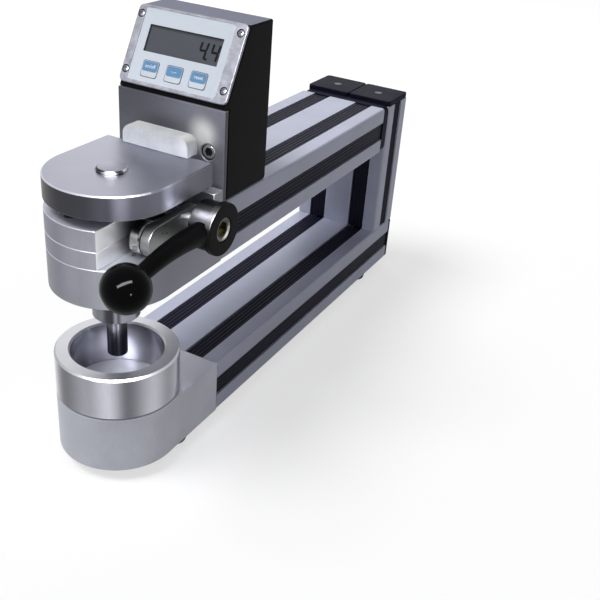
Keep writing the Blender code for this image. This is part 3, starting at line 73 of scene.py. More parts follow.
# what a look has where its own dictionary doesn't say
usualLook = {
    "stretch": (1, 1, 1), "cloud": 22, "grainShare": 0.6, "metal": 0, "bump": 0.2, "bumpDepth": 0.00005,
    "spots": (), "wearWidth": 0.0006, "wearShare": 0.6,
}
noiseSizes = {
    "octaves": 5, "roughness": 0.6, "cloudOctaves": 3, "span": (0.3, 0.7), "broadSpan": (0.35, 0.65),
    "patches": 260, "patchSpan": (0.35, 0.6), "patchLow": 0.35, "edgeSpan": (0.985, 0.80), "edgeSamples": 6,
}


# node helpers
def newLook(name):
    material = bpy.data.materials.new(name)
    material.use_nodes = True
    return material, material.node_tree, material.node_tree.nodes["Principled BSDF"]


def feed(tree, node, inputs):
    # a socket takes a number, a vector, a colour or another node's output
    for place, value in inputs.items():
        socket = node.inputs[place]
        if isinstance(value, bpy.types.NodeSocket):
            tree.links.new(value, socket)
        else:
            socket.default_value = (*value, 1) if socket.type == "RGBA" else value


def nodeOf(tree, kind, inputs=None, **settings):
    node = tree.nodes.new("ShaderNode" + kind)
    for setting, value in settings.items():
        setattr(node, setting, value)
    feed(tree, node, inputs or {})
    return node


def stretched(tree, scale=(1, 1, 1)):
    # object coordinates, drawn out along an axis where its scale is small
    place = nodeOf(tree, "TexCoord").outputs["Object"]
    return nodeOf(tree, "Mapping", {"Scale": scale, "Vector": place}).outputs["Vector"]


def noiseOf(tree, vector, scale, octaves=noiseSizes["octaves"]):
    inputs = {"Scale": scale, "Detail": octaves, "Roughness": noiseSizes["roughness"], "Vector": vector}
    return nodeOf(tree, "TexNoise", inputs).outputs["Fac"]


def ranged(tree, value, fromLow, fromHigh, toLow, toHigh, **settings):
    inputs = {"From Min": fromLow, "From Max": fromHigh, "To Min": toLow, "To Max": toHigh, "Value": value}
    return nodeOf(tree, "MapRange", inputs, **settings).outputs["Result"]


def mathOf(tree, operation, *values):
    return nodeOf(tree, "Math", dict(enumerate(values)), operation=operation).outputs[0]


def mixed(tree, share, first, second):
    return nodeOf(tree, "Mix", {0: share, 6: first, 7: second}, data_type="RGBA").outputs[2]


def axesOf(tree):
    # object coordinates, one output for each axis
    return nodeOf(tree, "SeparateXYZ", {0: stretched(tree)}).outputs


def seenOnly(tree):
    # 1 for what the camera sees, also by reflection or through glass, and 0 for lighting
    rays = nodeOf(tree, "LightPath").outputs
    direct = mathOf(tree, "MAXIMUM", rays["Is Camera Ray"], rays["Is Glossy Ray"])
    return mathOf(tree, "MAXIMUM", direct, rays["Is Transmission Ray"])


def edgeShare(tree, width):
    # near 1 on edges, which are worn and take a painted highlight, 0 on the faces between them
    rounded = nodeOf(tree, "Bevel", {"Radius": width}, samples=noiseSizes["edgeSamples"])
    flat = nodeOf(tree, "NewGeometry")
    normals = {0: rounded.outputs["Normal"], 1: flat.outputs["Normal"]}
    dot = nodeOf(tree, "VectorMath", normals, operation="DOT_PRODUCT")
    return ranged(tree, dot.outputs["Value"], *noiseSizes["edgeSpan"], 0, 1)


def bandShare(tree, bands):
    # painted reflections, light and shade round a turned piece: stops are (share of the turn, brightness)
    # about its own axis
    axes = axesOf(tree)
    sides = []
    for letter, centre in zip(bands["across"], bands.get("centre", (0, 0))):
        sides.append(mathOf(tree, "SUBTRACT", axes[letter], centre))
    angle = mathOf(tree, "ARCTAN2", sides[1], sides[0])
    turn = mathOf(tree, "FRACT", mathOf(tree, "ADD", mathOf(tree, "DIVIDE", angle, 2 * math.pi), 1))
    ramp = nodeOf(tree, "ValToRGB", {0: turn})
    ramp.color_ramp.interpolation = "EASE"
    marks = ramp.color_ramp.elements
    while len(marks) < len(bands["stops"]):
        marks.new(0.5)
    for mark, (place, tone) in zip(marks, bands["stops"]):
        mark.position = place
        mark.color = (tone, tone, tone, 1)
    return ramp.outputs[0]


def finish(name, look):
    # grain: fine noise, drawn out the way the surface was worked; cloud: large soft patches
    look = {**usualLook, **look}
    material, tree, shader = newLook(name)
    plain = stretched(tree)
    grain = noiseOf(tree, stretched(tree, look["stretch"]), look["grain"])
    cloud = noiseOf(tree, plain, look["cloud"], noiseSizes["cloudOctaves"])
    soft = ranged(tree, cloud, *noiseSizes["span"], 0, 1 - look["grainShare"])
    tone = mathOf(tree, "MULTIPLY_ADD", grain, look["grainShare"], soft)
    colour = mixed(tree, tone, look["dark"], look["light"])
    # spots: painted pools of light and shade, fading with distance from a point
    for spot in look["spots"]:
        away = nodeOf(tree, "VectorMath", {0: plain, 1: spot["centre"]}, operation="DISTANCE")
        near = ranged(tree, away.outputs["Value"], spot["radius"], 0, 0, spot["share"],
                      interpolation_type="SMOOTHERSTEP")
        colour = mixed(tree, near, colour, spot["colour"])
    # bands: painted reflections, light and shade by angle about the piece's axis
    if "bands" in look:
        colour = mixed(tree, bandShare(tree, look["bands"]), look["bands"]["dark"], colour)
    # edges take a lighter colour: partly worn, partly a painted highlight
    if "edgeWearAndHighlight" in look:
        wornAndLitEdge = mathOf(tree, "MULTIPLY", edgeShare(tree, look["wearWidth"]), look["wearShare"])
        patches = noiseOf(tree, plain, noiseSizes["patches"])
        patches = ranged(tree, patches, *noiseSizes["patchSpan"], noiseSizes["patchLow"], 1)
        colour = mixed(tree, mathOf(tree, "MULTIPLY", wornAndLitEdge, patches), colour, look["edgeWearAndHighlight"])
    low, high = look["rough"]
    fine = ranged(tree, grain, *noiseSizes["span"], low, (low + high) / 2)
    broad = ranged(tree, cloud, *noiseSizes["broadSpan"], 0, (high - low) / 2)
    bump = nodeOf(tree, "Bump", {"Strength": look["bump"], "Distance": look["bumpDepth"], "Height": grain})
    inputs = {
        "Base Color": colour, "Roughness": mathOf(tree, "ADD", fine, broad), "Metallic": look["metal"],
        "Normal": bump.outputs["Normal"],
    }
    if "specular" in look:
        inputs["Specular IOR Level"] = look["specular"]
    feed(tree, shader, inputs)
    return material


# shape helpers
def added(name, data):
    # a new object, in the scene
    thing = bpy.data.objects.new(name, data)
    scene.collection.objects.link(thing)
    return thing


def arcPoints(centre, radius, first, last, steps):
    points = []
    for step in range(steps + 1):
        angle = math.radians(first + (last - first) * step / steps)
        points.append((centre[0] + radius * math.cos(angle), centre[1] + radius * math.sin(angle)))
    return points


def roundedBox(left, right, low, high, radius):
    corners = ((right - radius, low + radius), (right - radius, high - radius),
               (left + radius, high - radius), (left + radius, low + radius))
    points = []
    for quarter, centre in enumerate(corners):
        points += arcPoints(centre, radius, 90 * quarter - 90, 90 * quarter, detail["cornerSteps"])
    return points


def noseOutline(rear):
    front = arcPoints((0, 0), noseRadius, 180, 360, detail["noseSteps"])
    return front + [(noseRadius, rear), (-noseRadius, rear)]


def prism(outline, low, high, axis="Z"):
    # outline pairs are (y, z) along X, (x, z) along Y and (x, y) along Z
    orders = {"X": lambda u, v, w: (w, u, v), "Y": lambda u, v, w: (u, w, v), "Z": lambda u, v, w: (u, v, w)}
    order = orders[axis]
    shape = bmesh.new()
    face = shape.faces.new([shape.verts.new(order(u, v, low)) for u, v in outline])
    grown = bmesh.ops.extrude_face_region(shape, geom=[face])
    raised = [item for item in grown["geom"] if isinstance(item, bmesh.types.BMVert)]
    bmesh.ops.translate(shape, verts=raised, vec=Vector(order(0, 0, high - low)))
    bmesh.ops.recalc_face_normals(shape, faces=shape.faces)
    return shape


def block(low, high):
    outline = [(low[0], low[1]), (high[0], low[1]), (high[0], high[1]), (low[0], high[1])]
    return prism(outline, low[2], high[2])


def lathe(profile, sides=detail["roundSides"], axis="Z", closed=False):
    # turns (radius, height) pairs about the axis
    shape = bmesh.new()
    corners = [shape.verts.new((radius, 0, height)) for radius, height in profile]
    pairs = list(zip(corners, corners[1:])) + ([(corners[-1], corners[0])] if closed else [])
    edges = [shape.edges.new(pair) for pair in pairs]
    bmesh.ops.spin(shape, geom=corners + edges, cent=(0, 0, 0), axis=(0, 0, 1), angle=2 * math.pi,
                   steps=sides, use_merge=True)
    bmesh.ops.remove_doubles(shape, verts=shape.verts, dist=mergeWithin)
    bmesh.ops.recalc_face_normals(shape, faces=shape.faces)
    turns = {"X": Matrix.Rotation(math.pi / 2, 4, "Y"), "Y": Matrix.Rotation(-math.pi / 2, 4, "X"),
             "Z": Matrix.Identity(4)}
    bmesh.ops.transform(shape, matrix=turns[axis], verts=shape.verts)
    return shape


def stepped(start, *steps):
    # profile of a round piece: each step gives its diameter and where it ends
    points = [(0, start)]
    level = start
    for diameter, end in steps:
        points += [(diameter / 2, level), (diameter / 2, end)]
        level = end
    return points + [(0, level)]


def rod(diameter, low, high, sides=detail["smallSides"], axis="Z"):
    return lathe(stepped(low, (diameter, high)), sides, axis)


def crowned(radius, side, height, steps):
    # profile of a domed end, from the top of its side to the axis
    points = []
    for step in range(steps):
        angle = math.pi / 2 * step / steps
        points.append((radius * math.cos(angle), side + height * math.sin(angle)))
    return points + [(0, side + height)]


def softCorners(profile, radius, steps=3):
    # rounds each inner corner of an open profile
    points = [profile[0]]
    for before, corner, after in zip(profile, profile[1:], profile[2:]):
        middle = Vector(corner)
        first = Vector(before) - middle
        second = Vector(after) - middle
        reach = min(radius, first.length * detail["cornerReach"], second.length * detail["cornerReach"])
        start = middle + first.normalized() * reach
        end = middle + second.normalized() * reach
        for step in range(steps + 1):
            share = step / steps
            point = start.lerp(middle, share).lerp(middle.lerp(end, share), share)
            points.append((point.x, point.y))
    return points + [profile[-1]]


def hexagon(width, low, high):
    corner = width / math.sqrt(3)
    turns = [math.pi * step / 3 for step in range(6)]
    return prism([(corner * math.cos(turn), corner * math.sin(turn)) for turn in turns], low, high)


def moved(shape, x=0, y=0, z=0):
    bmesh.ops.translate(shape, verts=shape.verts, vec=(x, y, z))
    return shape


def turned(shape, angle, axis):
    bmesh.ops.transform(shape, matrix=Matrix.Rotation(angle, 4, axis), verts=shape.verts)
    return shape


def softEdges(shape, width, segments=3):
    limit = detail["bevelAbove"]
    edges = [edge for edge in shape.edges if edge.is_manifold and edge.calc_face_angle(0) > limit]
    bmesh.ops.bevel(shape, geom=edges, offset=width, segments=segments, profile=0.5, affect="EDGES",
                    clamp_overlap=True)
    return shape


def joined(shapes):
    # several closed shapes in one mesh, kept apart
    whole = bmesh.new()
    for shape in shapes:
        mesh = bpy.data.meshes.new("part")
        shape.to_mesh(mesh)
        shape.free()
        whole.from_mesh(mesh)
        bpy.data.meshes.remove(mesh)
    return whole


def carved(shape, cutters, operation="DIFFERENCE"):
    helpers = []
    for tool in [shape] + list(cutters):
        mesh = bpy.data.meshes.new("helper")
        tool.to_mesh(mesh)
        tool.free()
        helpers.append(added("helper", mesh))
    for helper in helpers[1:]:
        step = helpers[0].modifiers.new("step", "BOOLEAN")
        step.operation = operation
        step.solver = "EXACT"
        step.object = helper
    result = bmesh.new()
    result.from_mesh(helpers[0].evaluated_get(bpy.context.evaluated_depsgraph_get()).data)
    bmesh.ops.remove_doubles(result, verts=result.verts, dist=mergeWithin)
    for helper in helpers:
        bpy.data.objects.remove(helper, do_unlink=True)
    return result


def nodeShape(name, width, segments=2):
    # a CAD node's own shape, its flat faces made whole and its sharp edges softened
    shape = bmesh.new()
    shape.from_mesh(nodes[name].data)
    bmesh.ops.remove_doubles(shape, verts=shape.verts, dist=mergeWithin)
    bmesh.ops.dissolve_limit(shape, angle_limit=detail["flatWithin"], verts=shape.verts, edges=shape.edges)
    return softEdges(shape, width, segments)


def piece(name, shape, material, body, standsFor=(), matrix=None, extra=(), weighted=True):
    mesh = bpy.data.meshes.new(name)
    shape.to_mesh(mesh)
    shape.free()
    for each in (material, *extra):
        mesh.materials.append(each)
    mesh.shade_smooth()
    mesh.set_sharp_from_angle(angle=detail["smoothBelow"])
    thing = added(name, mesh)
    if matrix is not None:
        thing.matrix_world = matrix
    if weighted:
        flatten = thing.modifiers.new("evenFaces", "WEIGHTED_NORMAL")
        flatten.keep_sharp = True
    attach(thing, body)
    if standsFor:
        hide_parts(*standsFor)
    return thing


def paintWhere(thing, index, test):
    # faces whose every corner passes the test take another of the piece's materials
    corners = thing.data.vertices
    for polygon in thing.data.polygons:
        if all(test(corners[corner].co, polygon.normal) for corner in polygon.vertices):
            polygon.material_index = index


def sloped(part):
    # true for a chamfer or rounding, by its normal's part along an axis
    return facing["slant"] < part < facing["flat"]


def dress(material, *names):
    # CAD nodes that stay as they are, with their look
    for name in names:
        mesh = nodes[name].data
        mesh.materials.clear()
        mesh.materials.append(material)


# stand: three lengths of drawn section with their cover strips
# drawn section; its lighter edge lines are partly a painted highlight
sectionLook = {
    "light": (0.565, 0.59, 0.73), "dark": (0.425, 0.445, 0.555), "metal": 0.1, "rough": (0.36, 0.52),
    "specular": 0.10, "grain": 900, "stretch": (1, 0.012, 1), "grainShare": 0.45, "bump": 0.12,
    "bumpDepth": 0.00003, "edgeWearAndHighlight": (0.96, 0.97, 1.0), "wearWidth": 0.0005, "wearShare": 0.7,
}
# the upright's corners take a wider, brighter painted highlight line
uprightLook = dict(sectionLook, stretch=(1, 1, 0.012), edgeWearAndHighlight=(1.0, 1.0, 1.0), wearWidth=0.0011, wearShare=0.9)
stripLook = {
    "light": (0.020, 0.020, 0.038), "dark": (0.010, 0.010, 0.022), "rough": (0.34, 0.48), "grain": 700,
    "stretch": (1, 0.03, 1), "bump": 0.15, "specular": 0.03,
}
capLook = {
    "light": (0.015, 0.015, 0.030), "dark": (0.006, 0.006, 0.014), "rough": (0.40, 0.60), "grain": 1500,
    "bump": 0.35, "bumpDepth": 0.00006, "edgeWearAndHighlight": (0.03, 0.03, 0.04), "wearWidth": 0.0007, "specular": 0.02,
}
boltLook = {
    "light": (0.11, 0.11, 0.12), "dark": (0.05, 0.05, 0.055), "metal": 0.9, "rough": (0.3, 0.5),
    "grain": 1200, "bumpDepth": 0.00004,
}
rubberLook = {
    "light": (0.045, 0.045, 0.047), "dark": (0.018, 0.018, 0.019), "rough": (0.7, 0.9), "grain": 900,
    "bump": 0.5, "bumpDepth": 0.0001,
}
# a painted sheen in the caps' dimples
dimpleSheenLook = {
    "light": (0.15, 0.15, 0.19), "dark": (0.03, 0.03, 0.05), "rough": (0.3, 0.5), "grain": 1100,
    "bump": 0.4, "specular": 0.2,
}
drawnAlong = finish("drawn section", sectionLook)
drawnUp = finish("drawn section upright", uprightLook)
stripAlong = finish("ribbed cover strip", stripLook)
stripUp = finish("ribbed cover strip upright", dict(stripLook, stretch=(1, 1, 0.03)))
capPlastic = finish("end cap plastic", capLook)
darkBolt = finish("oxide bolt", boltLook)
dimpleSheen = finish("cap dimple painted sheen", dimpleSheenLook)

standSizes = {"sectionEdge": 0.00012, "plateEdge": 0.0003}
for name, material in (("arm", drawnAlong), ("base", drawnAlong), ("upright", drawnUp)):
    node = name + "_profile"
    section = nodeShape(node, standSizes["sectionEdge"], 1)
    piece(name + "_section", section, material, "stand", [node])
for name in nodes:
    if "_strip_" in name:
        dress(stripUp if name.startswith("upright") else stripAlong, name)
dress(darkBolt, "arm_screw_left", "arm_screw_right", "upright_bolts", "housing_clamp")
dress(finish("foot rubber", rubberLook), "foot_bar_front", "foot_bar_rear")
for name, label in (("base_end_cap", "base_cap"), ("arm_end_plate", "arm_plate")):
    piece(label, nodeShape(name, standSizes["plateEdge"]), capPlastic, "stand", [name])

capSizes = {"dimple": 0.0068, "dimpleDepth": 0.0002, "edge": 0.0007, "corner": 0.0030}
for side in ("left", "right"):
    name = "upright_cap_" + side
    low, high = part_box(name)
    middle = (low + high) / 2
    outline = roundedBox(low.x, high.x, low.y, high.y, capSizes["corner"])
    shape = softEdges(prism(outline, low.z, high.z), capSizes["edge"])
    dimple = rod(capSizes["dimple"], high.z - capSizes["dimpleDepth"], high.z + overrun)
    shape = carved(shape, [moved(dimple, middle.x, middle.y)])
    cap = piece("cap_" + side, shape, capPlastic, "stand", [name], extra=[dimpleSheen])
    reach = capSizes["dimple"] / 2 + margin
    # the dimple's faces take the painted sheen
    paintWhere(cap, 1, lambda at, normal: (at.xy - middle.xy).length < reach and at.z > middle.z)

# cover strips in the two channels under the arm
stripSizes = {
    "width": 0.0146, "stem": 0.0076, "stemLength": 0.0018, "thickness": 0.0019, "ribDepth": 0.0004,
    "ribs": 5, "seat": 0.0029,
}


def stripOutline():
    half = stripSizes["width"] / 2
    stem = stripSizes["stem"] / 2
    deep = stripSizes["stemLength"]
    thick = stripSizes["thickness"]
    groove = thick - stripSizes["ribDepth"]
    pitch = 2 * half / stripSizes["ribs"]
    points = [(-half, 0), (-stem, 0), (-stem, -deep), (stem, -deep), (stem, 0), (half, 0)]
    for rib in range(stripSizes["ribs"]):
        start = half - rib * pitch
        points += [(start, groove), (start - pitch / 3, thick), (start - 2 * pitch / 3, thick)]
    return points + [(-half, groove)]


armLow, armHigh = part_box("arm_profile")
for side, label in ((-1, "left"), (1, "right")):
    strip = prism([(x, -z) for x, z in stripOutline()], armLow.y, armHigh.y, "Y")
    strip = moved(strip, side * armHigh.x / 2, 0, armLow.z + stripSizes["seat"])
    piece("arm_under_strip_" + label, strip, stripAlong, "stand")
print("stand done")


# head: three milled layers with a pocket on the lever's side
headLook = {
    "light": (0.62, 0.635, 0.70), "dark": (0.44, 0.45, 0.51), "metal": 0.3, "rough": (0.34, 0.50),
    "grain": 650, "specular": 0.15, "stretch": (1, 1, 0.25), "grainShare": 0.5, "bump": 0.10,
    "bumpDepth": 0.00003, "edgeWearAndHighlight": (0.90, 0.91, 0.95), "wearWidth": 0.0004, "wearShare": 0.35,
}
# painted light and shade round the head's sides, by angle about the plunger's axis
headShadeBands = {
    "across": "XY", "dark": (0.20, 0.20, 0.245),
    "stops": ((0.0, 0.20), (0.15, 0.35), (0.34, 0.75), (0.50, 0.6), (0.60, 0.05), (0.70, 0.22),
        (0.77, 0.62), (0.84, 1.0), (0.88, 0.8), (0.94, 0.3), (1.0, 0.20)),
}
# a painted highlight line on the front chamfers of the head and weight plate
chamferHighlightLook = {
    "light": (0.68, 0.69, 0.76), "dark": (0.52, 0.53, 0.60), "metal": 0.4, "rough": (0.25, 0.4),
    "grain": 800, "specular": 0.3,
}
# the wall of the lever pocket: a painted highlight, bright toward the front
pocketHighlightLook = {
    "light": (1.0, 1.0, 1.0), "dark": (0.86, 0.87, 0.90), "metal": 0.9, "rough": (0.30, 0.44),
    "grain": 650, "stretch": (1, 0.2, 1), "bump": 0.08, "specular": 0.3,
    "bands": {
        "across": "XY", "dark": (0.16, 0.16, 0.18),
        "stops": ((0.0, 0.0), (0.12, 0.1), (0.30, 0.0), (0.60, 0.3), (0.80, 1.0), (0.85, 0.9), (0.97, 0.1)),
    },
}
headSizes = {
    "seam": 0.00004, "chamfer": 0.0004, "pocketWallX": 0.017, "pocketRearY": 0.0478, "guideBore": 0.0206,
    "shaftSeat": 0.0172, "shaftSeatX": -0.0355, "reliefFront": -0.0095, "reliefRear": 0.0045,
    "reliefMargin": 0.001, "reliefDepth": 0.0015, "wallMargin": 0.0006, "brightBeyond": 0.038,
    "screwBore": 0.0046, "screwSink": 0.0076,
    "screwPlaces": ((-0.008, -0.028), (-0.027, 0.016), (-0.028, 0.0528), (0.028, 0.0528)),
}
milled = finish("milled aluminium", headLook)
chamferHighlight = finish("chamfer painted highlight", chamferHighlightLook)
pocketHighlight = finish("pocket wall painted highlight", pocketHighlightLook)
milledSideShade = finish("milled aluminium sides painted shade", dict(headLook, bands=headShadeBands))


def layerOutline(rear):
    # half-round nose with the lever pocket taken out of its right side
    wall, pocketRear = headSizes["pocketWallX"], headSizes["pocketRearY"]
    cut = math.degrees(math.acos(wall / noseRadius))
    points = arcPoints((0, 0), noseRadius, 180, 360 - cut, detail["noseSteps"])
    return points + [(wall, pocketRear), (noseRadius, pocketRear), (noseRadius, rear), (-noseRadius, rear)]


def layerCutters(low, high, screwBore):
    # the shaft's seat, the plunger guide's bore and the layer screws' bores
    seat = rod(headSizes["shaftSeat"], headSizes["shaftSeatX"], headSizes["pocketWallX"] + overrun, axis="X")
    cutters = [moved(seat, 0, shaftY, shaftZ)]
    cutters.append(rod(headSizes["guideBore"], low - overrun, high + overrun, detail["roundSides"]))
    for x, y in headSizes["screwPlaces"]:
        cutters.append(moved(rod(screwBore, low - overrun, high + overrun, detail["boreSides"]), x, y))
    return cutters


def headPiece(name, shape, node):
    layer = piece(name, shape, milled, "stand", [node],
                  extra=[chamferHighlight, pocketHighlight, milledSideShade])
    wall = headSizes["pocketWallX"]
    near = headSizes["wallMargin"]
    # side faces take the painted light and shade bands
    paintWhere(layer, 3, lambda at, normal: abs(normal.z) < facing["side"])
    # the wall of the lever pocket takes the painted highlight
    paintWhere(layer, 2, lambda at, normal: normal.x > facing["slant"] and abs(at.x - wall) < near)
    return layer


shaftLow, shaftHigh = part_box("lever_shaft")
shaftY = (shaftLow.y + shaftHigh.y) / 2
shaftZ = (shaftLow.z + shaftHigh.z) / 2
rollerLow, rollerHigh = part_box("roller")
midLow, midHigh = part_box("head_middle_layer")
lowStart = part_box("head_lower_layer")[0].z
topStart = midHigh.z + gap
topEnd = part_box("head_top_layer")[1].z
headRear = midHigh.y

plugSizes = {
    "bore": 0.0086, "boreX": (-0.045, -0.010), "seatX": -0.040, "y": 0.0028, "z": 0.139, "shank": 0.004,
    "shankLength": 0.0297, "side": 0.0025, "crown": 0.0024, "steps": 12,
}
relief = block((rollerLow.x - headSizes["reliefMargin"], headSizes["reliefFront"],
                midLow.z - headSizes["reliefDepth"]),
               (rollerHigh.x + headSizes["reliefMargin"], headSizes["reliefRear"], midLow.z + overrun))
plugHole = moved(rod(plugSizes["bore"], *plugSizes["boreX"], axis="X"), 0, plugSizes["y"], plugSizes["z"])
guideHole = rod(headSizes["guideBore"], lowStart - overrun, midLow.z + overrun)
lower = prism(noseOutline(headRear), lowStart, midLow.z - headSizes["seam"])
lower = carved(softEdges(lower, headSizes["chamfer"], 1), [relief, plugHole, guideHole])
headPiece("head_lower", lower, "head_lower_layer")
layers = (
    ("middle", midLow.z, topStart - headSizes["seam"], headSizes["screwBore"]),
    ("top", topStart, topEnd, headSizes["screwSink"]),
)
for name, low, high, screwBore in layers:
    shape = softEdges(prism(layerOutline(headRear), low, high), headSizes["chamfer"], 1)
    shape = carved(shape, layerCutters(low, high, screwBore))
    layer = headPiece("head_" + name, shape, "head_%s_layer" % name)
    # front chamfers of the nose take the painted highlight
    paintWhere(layer, 1, lambda at, normal: sloped(abs(normal.z)) and at.y < 0
               and at.xy.length > headSizes["brightBeyond"])

# socket screws through the layers
steelLook = {
    "light": (0.50, 0.50, 0.53), "dark": (0.32, 0.32, 0.35), "metal": 1.0, "rough": (0.12, 0.26),
    "grain": 1400, "stretch": (1, 1, 0.08), "bump": 0.05, "bumpDepth": 0.00002,
}
layerScrewSizes = {
    "width": 0.0070, "height": 0.004, "edge": 0.0003, "socketShare": 0.55, "socketDepth": 0.0025,
}
width, height, edge, socketShare, socketDepth = layerScrewSizes.values()
screwTop = topEnd - gap
for index, (x, y) in enumerate(headSizes["screwPlaces"]):
    profile = softCorners(stepped(screwTop - height, (width, screwTop)), edge)
    socket = hexagon(width * socketShare, screwTop - socketDepth, screwTop + overrun)
    screw = carved(lathe(profile, detail["smallSides"]), [socket])
    piece("layer_screw_%d" % index, moved(screw, x, y), darkBolt, "stand")

# round plug on the left side
plugLow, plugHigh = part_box("side_plug")
plugRadius = (plugHigh.z - plugLow.z) / 2
profile = [(0, -plugSizes["shankLength"]), (plugSizes["shank"], -plugSizes["shankLength"]),
           (plugSizes["shank"], gap), (plugRadius, gap)]
profile += crowned(plugRadius, plugSizes["side"], plugSizes["crown"], plugSizes["steps"])
plug = turned(lathe(profile), -math.pi / 2, "Y")
piece("plug_screw", moved(plug, plugSizes["seatX"], plugSizes["y"], plugSizes["z"]), milled, "stand",
      ["side_plug"])

# guide collar
collarSizes = {"bore": 0.0068, "neck": 0.010, "flange": 0.015, "edge": 0.0008, "flangeTop": 0.1197}
# painted reflections round the collar: dark and bright bands by angle
collarReflectionBands = {
    "across": "XY", "dark": (0.015, 0.015, 0.02),
    "stops": ((0.0, 0.4), (0.054, 0.08), (0.3, 0.7), (0.5, 0.5), (0.64, 0.2), (0.68, 0.55), (0.75, 0.6),
        (0.80, 0.12), (0.83, 0.1), (0.852, 0.9), (0.871, 0.3), (0.896, 1.0), (0.962, 0.9)),
}
collarLook = dict(steelLook, light=(0.34, 0.34, 0.39), dark=(0.24, 0.24, 0.28), rough=(0.2, 0.3),
                  stretch=(1, 1, 8), bands=collarReflectionBands)
brassLook = {
    "light": (0.68, 0.50, 0.20), "dark": (0.50, 0.34, 0.12), "metal": 1.0, "rough": (0.2, 0.35),
    "grain": 900, "bump": 0.08, "bumpDepth": 0.00003,
}
collarLow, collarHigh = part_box("guide_collar")
bore, neck, flange, edge, flangeTop = collarSizes.values()
profile = [(bore, collarLow.z), (flange - edge, collarLow.z), (flange, collarLow.z + edge),
           (flange, flangeTop), (neck, flangeTop), (neck, collarHigh.z), (bore, collarHigh.z)]
piece("collar", lathe(profile, closed=True), finish("turned collar steel painted reflections", collarLook), "stand",
      ["guide_collar"])
dress(finish("turned brass", brassLook), "shaft_bush")
print("head done")


# measuring cylinder and base nose
noseLow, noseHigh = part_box("base_nose")
nose = softEdges(prism(noseOutline(headRear), noseLow.z, noseHigh.z), headSizes["chamfer"], 2)
piece("nose_block", nose, milled, "stand", ["base_nose"])

ringSizes = {"bore": 0.030, "outer": 0.040, "edge": 0.0012, "low": 0.0403}
# painted reflections round the measuring ring's sides
ringReflectionBands = {
    "across": "XY", "dark": (0.05, 0.05, 0.06),
    "stops": ((0.0, 0.5), (0.08, 0.9), (0.2, 0.3), (0.35, 0.9), (0.5, 0.35), (0.62, 1.0), (0.70, 0.15),
        (0.78, 0.55), (0.83, 1.0), (0.88, 0.2), (0.95, 0.8), (1.0, 0.5)),
}
ringReflectionLook = dict(steelLook, light=(0.66, 0.66, 0.72), dark=(0.48, 0.48, 0.54), stretch=(1, 1, 0.1),
                  bands=ringReflectionBands)
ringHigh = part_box("measuring_cylinder")[1].z
bore, outer, edge, ringLow = ringSizes.values()
profile = [(bore, ringLow), (outer - edge, ringLow), (outer, ringLow + edge), (outer, ringHigh - edge),
           (outer - edge, ringHigh), (bore + edge, ringHigh), (bore, ringHigh - edge)]
ring = piece("measuring_ring", lathe(profile, detail["ringSides"], closed=True),
             finish("satin steel ring", dict(steelLook, rough=(0.30, 0.44))), "stand",
             ["measuring_cylinder"], extra=[finish("banded steel", ringReflectionLook)])
# side faces take the painted reflection bands
paintWhere(ring, 1, lambda at, normal: abs(normal.z) < facing["side"])


# weight plate with its domed screw, the plunger and the white block
weightLook = {
    "light": (0.29, 0.295, 0.35), "dark": (0.165, 0.17, 0.21), "metal": 0.85, "rough": (0.34, 0.46),
    "grain": 1100, "stretch": (0.10, 1, 1), "grainShare": 0.55, "bump": 0.07, "bumpDepth": 0.00002,
    "edgeWearAndHighlight": (0.88, 0.88, 0.92), "wearWidth": 0.0005, "wearShare": 0.5,
}
# painted reflections round the weight plate's rim: dark toward the front left, a highlight toward the front
# right
rimReflectionBands = {
    "across": "XY", "dark": (0.016, 0.016, 0.022),
    "stops": ((0.0, 0.60), (0.03, 0.32), (0.08, 0.16), (0.14, 0.10), (0.30, 0.5), (0.42, 0.8),
        (0.50, 0.3), (0.58, 0.02), (0.70, 0.0), (0.79, 0.03), (0.845, 0.10), (0.872, 0.45),
        (0.905, 0.16), (0.97, 0.22), (1.0, 0.60)),
}
weightRimReflectionLook = dict(weightLook, light=(0.80, 0.82, 1.0), dark=(0.60, 0.62, 0.82), stretch=(1, 1, 8),
                     rough=(0.34, 0.46), metal=0.55, bands=rimReflectionBands)
weightSizes = {
    "edge": 0.0008, "recess": 0.0200, "recessDepth": 0.0004, "spigotBore": 0.0106, "rimBeyond": 0.030,
    "brightBefore": -0.012,
}
ground = finish("ground steel", weightLook)
groundRimReflection = finish("ground steel rim painted reflections", weightRimReflectionLook)
plateLow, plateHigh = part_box("weight_plate")
recessFloor = plateHigh.z - weightSizes["recessDepth"]
plate = softEdges(prism(noseOutline(plateHigh.y), plateLow.z, plateHigh.z), weightSizes["edge"], 1)
recess = rod(weightSizes["recess"], recessFloor, plateHigh.z + overrun, detail["roundSides"])
plate = carved(plate, [recess, rod(weightSizes["spigotBore"], plateLow.z - overrun, plateHigh.z)])
slab = piece("weight_slab", plate, ground, "weight", ["weight_plate"],
             extra=[groundRimReflection, chamferHighlight])
# rim faces take the painted reflections
paintWhere(slab, 1, lambda at, normal: normal.z < facing["flat"] and at.xy.length > weightSizes["rimBeyond"])
# the front chamfer takes the painted highlight
paintWhere(slab, 2, lambda at, normal: sloped(normal.z) and at.y < weightSizes["brightBefore"])

domeSizes = {
    "radius": 0.0092, "shank": 0.005, "crown": 0.0005, "rounding": 0.0011, "lift": 0.00005,
    "sideShare": 0.45, "ridgeShare": 0.5, "ridgeDrop": 0.25, "steps": 8,
}
